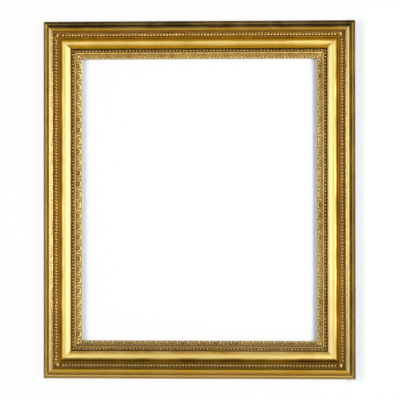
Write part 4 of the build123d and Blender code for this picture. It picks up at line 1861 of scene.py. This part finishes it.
@dataclass
class Studio:
    """A white wall behind the frame, a pale floor below, soft lamps and the camera. Lengths are in metres."""

    wall_gap: float = 0.0004
    board_set_back: float = 0.0006
    floor_level: float = -1.5
    reach: float = 6.0
    floor_reach: float = 40.0
    wall: str = "#fcfcfb"
    floor: str = "#d0cdc7"
    floor_glow: float = 0.28
    sweep: tuple[float, float] = (2.5, 7.0)
    glow: float = 0.9
    right_glow: float = 0.36
    cool_wall: tuple[float, float, float, float] = (1.0, 1.05, 1.12, 1.0)
    left_board_glow: float = 0.18
    right_board_glow: float = 0.06
    board_strip: float = 0.0195
    cool: tuple[float, float, float, float] = (0.75, 1.0, 1.3, 1.0)
    mirrored_from: float = 0.02
    hidden: float = 0.016
    board_edge: float = 0.0142
    horizon: float = 0.33
    zenith: float = 0.3
    nadir: float = 0.06
    right_lamp: float = 28.0
    left_lamp: float = 17.4
    back_lamp: float = 50.0
    lamp_at: tuple[float, float, float] = (1.2, -2.0, 0.1)
    back_lamp_at: tuple[float, float, float] = (0.7, 2.2, 1.0)
    lamp_size: tuple[float, float] = (0.5, 0.95)
    distance: float = 2.4
    azimuth: float = 1.714
    elevation: float = -0.265
    roll: float = -0.04
    lens: float = 103.15
    sensor: float = 36.0
    sight_limit: float = 100.0
    target: tuple[float, float, float] = (0.00218, -0.02, -0.00044)

    def plane(self, name: str, corners: list[tuple], finish: Material) -> None:
        """Add one flat sheet of the stage.

        Args:
            name: Name of the sheet.
            corners: Its corners in order.
            finish: Its finish.
        """
        mesh = new_mesh(name, corners, [(0, 1, 2, 3)])
        mesh.materials.append(finish)
        sheet = add_object(name, mesh)

    def wall_finish(self, name: str, glow: float, tint: tuple = WHITE) -> Material:
        """White paint on the side that faces the room; from behind, the wall isn't there.

        Args:
            name: Name of the material.
            glow: Share of its white that the wall gives by itself, so that shadows on it stay faint.
            tint: Colour of that share.

        Returns:
            The material.
        """
        material, tree = new_finish(name)
        red, green, blue, _ = (share * (1 - glow) for share in linear(self.wall))
        paint = add(tree, PRINCIPLED, {
            "Base Color": (red, green, blue, 1.0), "Emission Color": tint, "Emission Strength": glow,
            "Roughness": 0.9, "Specular IOR Level": 0.1,
        })
        path = add(tree, "ShaderNodeLightPath").outputs
        far = add(tree, MATH, {0: path["Ray Length"], 1: self.mirrored_from}, operation="GREATER_THAN")
        mirrored = add(tree, MATH, {0: path["Is Glossy Ray"], 1: far}, operation="MULTIPLY")
        seen = path["Is Camera Ray"]
        for kind in (path["Is Transmission Ray"], mirrored):
            seen = add(tree, MATH, {0: seen, 1: kind}, operation="MAXIMUM")
        behind = add(tree, "ShaderNodeNewGeometry").outputs["Backfacing"]
        front = add(tree, MATH, {0: 1.0, 1: behind}, operation="SUBTRACT")
        solid = add(tree, MATH, {0: seen, 1: front}, operation="MULTIPLY")
        clear = add(tree, "ShaderNodeBsdfTransparent")
        mixed = add(tree, "ShaderNodeMixShader", {0: solid, 1: clear, 2: paint})
        add(tree, "ShaderNodeOutputMaterial", {"Surface": mixed})
        return material

    def floor_finish(self) -> Material:
        """Pale paint with a glow that grows away from the frame, painted light that whitens it there, as a
        studio's sweep does.

        Returns:
            The material.
        """
        material, tree = new_finish("pale_floor")
        place = add(tree, "ShaderNodeNewGeometry").outputs["Position"]
        away = add(tree, VECTOR_MATH, {0: place}, operation="LENGTH").outputs["Value"]
        near, far = self.sweep
        glow = add(tree, RANGE, {
            "Value": away, "From Min": near, "From Max": far, "To Max": self.floor_glow,
        }, interpolation_type="SMOOTHSTEP")
        path = add(tree, "ShaderNodeLightPath").outputs
        seen = path["Is Camera Ray"]
        for kind in ("Is Glossy Ray", "Is Transmission Ray"):
            seen = add(tree, MATH, {0: seen, 1: path[kind]}, operation="MAXIMUM")
        strength = add(tree, MATH, {0: seen, 1: glow}, operation="MULTIPLY")
        close_finish(tree, {
            "Base Color": linear(self.floor), "Emission Color": WHITE, "Emission Strength": strength,
            "Roughness": 0.85,
        })
        return material

    def lamp(self, name: str, place: tuple, power: float) -> None:
        """Hang a soft lamp that faces the frame.

        Args:
            name: Name of the lamp.
            place: Where it hangs.
            power: Its power in watts.
        """
        light = bpy.data.lights.new(name, "AREA")
        light.shape = "RECTANGLE"
        light.size, light.size_y = self.lamp_size
        light.energy = power
        lamp = add_object(name, light)
        lamp.location = place
        lamp.rotation_euler = (-Vector(place)).to_track_quat("-Z", "Y").to_euler()

    def sheets(self) -> None:
        """Put up the wall round the frame, the boards in its opening and the floor."""
        reach, gap, low, back = self.reach, self.wall_gap, self.floor_level, -self.board_set_back
        across, up = (side.reach(side.inward) - self.hidden for side in (Side.RIGHT, Side.TOP))
        wide, tall = (
            max(abs(corner[axis]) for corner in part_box(node)) - self.board_edge
            for node, axis in (("sight_moulding_right", 0), ("sight_moulding_top", 2))
        )
        inner = wide - self.board_strip
        paper = self.wall_finish("white_wall", self.glow)
        cool_paper = self.wall_finish("white_wall_right", self.right_glow, self.cool_wall)
        left_paper = self.wall_finish("white_board_left", self.left_board_glow, self.cool)
        right_paper = self.wall_finish("white_board_right", self.right_board_glow, self.cool)
        for name, y, left, right, bottom, top, finish in (
            ("wall_low", gap, -reach, across, low, -up, paper),
            ("wall_high", gap, -reach, across, up, reach, paper),
            ("wall_left", gap, -reach, -across, -up, up, paper),
            ("wall_right", gap, across, reach, low, reach, cool_paper),
            ("board_left", back, -wide, -inner, -tall, tall, left_paper),
            ("board", back, -inner, inner, -tall, tall, paper),
            ("board_right", back, inner, wide, -tall, tall, right_paper),
        ):
            self.plane(name, [(left, y, bottom), (right, y, bottom), (right, y, top), (left, y, top)], finish)
        far = self.floor_reach
        corners = [(-far, -far, low), (far, -far, low), (far, far, low), (-far, far, low)]
        self.plane("floor", corners, self.floor_finish())

    def room(self) -> None:
        """Light the room, bright at the horizon, dimmer above and darkest below."""
        world = bpy.data.worlds.new("room")
        world.use_nodes = True
        tree = world.node_tree
        tree.nodes.clear()
        way = add(tree, "ShaderNodeTexCoord").outputs["Generated"]
        rise = add(tree, "ShaderNodeSeparateXYZ", {"Vector": way}).outputs["Z"]
        below, above = (
            add(tree, RANGE, {
                "Value": rise, "From Min": low, "From Max": high, "To Min": first, "To Max": last,
            }, interpolation_type="SMOOTHSTEP")
            for low, high, first, last in (
                (-0.5, 0.0, self.nadir, self.horizon), (0.05, 0.75, 0.0, self.zenith - self.horizon),
            )
        )
        level = add(tree, MATH, {0: below, 1: above}, operation="ADD")
        sky = add(tree, "ShaderNodeBackground", {"Color": WHITE, "Strength": level})
        add(tree, "ShaderNodeOutputWorld", {"Surface": sky})
        bpy.context.scene.world = world

    def camera(self) -> None:
        """Set the camera where the photograph was taken from."""
        turn, rise, roll = (math.radians(v) for v in (self.azimuth, self.elevation, self.roll))
        back = Vector((math.sin(turn) * math.cos(rise), -math.cos(turn) * math.cos(rise), math.sin(rise)))
        right = (-back).cross(Vector((0, 0, 1))).normalized()
        up = right.cross(-back)
        tilted = right * math.cos(roll) + up * math.sin(roll)
        axes = Matrix((tilted, up * math.cos(roll) - right * math.sin(roll), back)).transposed().to_4x4()
        data = bpy.data.cameras.new("camera")
        data.lens = self.lens
        data.sensor_width = self.sensor
        data.clip_end = self.sight_limit
        camera = add_object("camera", data)
        camera.matrix_world = Matrix.Translation(Vector(self.target) + back * self.distance) @ axes
        bpy.context.scene.camera = camera

    def build(self) -> None:
        """Set up the stage, the light and the camera."""
        self.sheets()
        across, forward, up = self.lamp_at
        self.lamp("right_lamp", (across, forward, up), self.right_lamp)
        self.lamp("left_lamp", (-across, forward, up), self.left_lamp)
        self.lamp("back_lamp", self.back_lamp_at, self.back_lamp)
        self.room()
        bpy.context.scene.view_settings.view_transform = "Standard"
        self.camera()


def main() -> None:
    """Build every sub-assembly in order."""
    logging.basicConfig(level=logging.INFO, format="%(message)s")
    trees = Trees(sweep_tree(), row_tree(), fastener_tree())
    moulding_gilt = GoldLeaf("burnished_water_gilding").make()
    cast = GoldLeaf(
        "oil_gilt_composition", leaf="#ceae60", pale_leaf="#dabb6c", toning_and_shade="#8f611a", varnish=0.0,
        satin=0.45, toned_and_shaded_from=0.5, toned_and_shaded_to=0.9, painted_highlight_share=0.7, rubbed_share=0.3,
    )
    # Lit and shaded copies of the cast gilding by side, as painted light and shade: paler top leaves, darker
    # bottom leaves and ribbon that also hold dust, and paler side ribbons
    bright = replace(cast, name="lit_top_gilt_composition", leaf="#dcb962", pale_leaf="#e4c36e",
                     toning_and_shade="#a87020", satin=0.42, toned_and_shaded_to=0.95, painted_highlight_share=0.9)
    dusty_and_shaded = replace(cast, name="dusty_shaded_gilt_composition", leaf="#b2975b", pale_leaf="#bea366",
                    toning_and_shade="#7d5a22", toned_and_shaded_from=0.45, painted_highlight_share=0.9)
    grimy_and_shaded = replace(dusty_and_shaded, name="grimy_shaded_gilt_composition", leaf="#957b42", pale_leaf="#a1874c",
                    painted_highlight_share=0.6)
    lit_sides = replace(cast, name="lit_sides_gilt_composition", leaf="#d6b463", pale_leaf="#e0c070",
                   toning_and_shade="#a3742a", toned_and_shaded_to=0.95)
    pearl = replace(cast, name="toned_gilt_pearls", leaf="#ad8444", pale_leaf="#b88f4c", toning_and_shade="#8a5a22",
                    umber_and_shade="#5a3414", satin=0.38, toned_and_shaded_from=0.4, toned_and_shaded_to=1.0, painted_highlight_share=0.6)
    cast_gilt, lit_top_gilt, dusty_and_shaded_gilt, grimy_and_shaded_gilt, lit_sides_gilt, pearl_gilt = (
        gilding.make() for gilding in (cast, bright, dusty_and_shaded, grimy_and_shaded, lit_sides, pearl)
    )
    # Each side's leaves and ribbon take its lit or shaded copy, else the cast gilding
    leaf_gilt = {Side.TOP: lit_top_gilt, Side.BOTTOM: dusty_and_shaded_gilt}
    ribbon_gilt = {Side.TOP: cast_gilt, Side.BOTTOM: grimy_and_shaded_gilt}
    brass = OldMetal("aged_brass", bright="#d2ae66", dull="#8d6f3c").make()
    steel = OldMetal("dull_steel", bright="#9b9790", dull="#5f5a54").make()
    mouldings, pearls, leaves = Mouldings(), PearlString(), LeafStrip()
    ribbon, corner_leaf = RibbonStrip(), CornerLeaf()
    for side in Side:
        mouldings.build(side, trees, moulding_gilt)
        pearls.build(side, mouldings, trees, pearl_gilt)
        leaves.build(side, mouldings, trees, leaf_gilt.get(side, cast_gilt))
        ribbon.build(side, mouldings, corner_leaf.length, trees, ribbon_gilt.get(side, lit_sides_gilt))
    for corner in Corner:
        corner_leaf.build(corner, mouldings, cast_gilt)
    BackFrame().dress(trees, steel)
    Hangers().dress(trees, brass)
    TurnButtons().build(trees, brass)
    Studio().build()


if __name__ == "__main__":
    main()
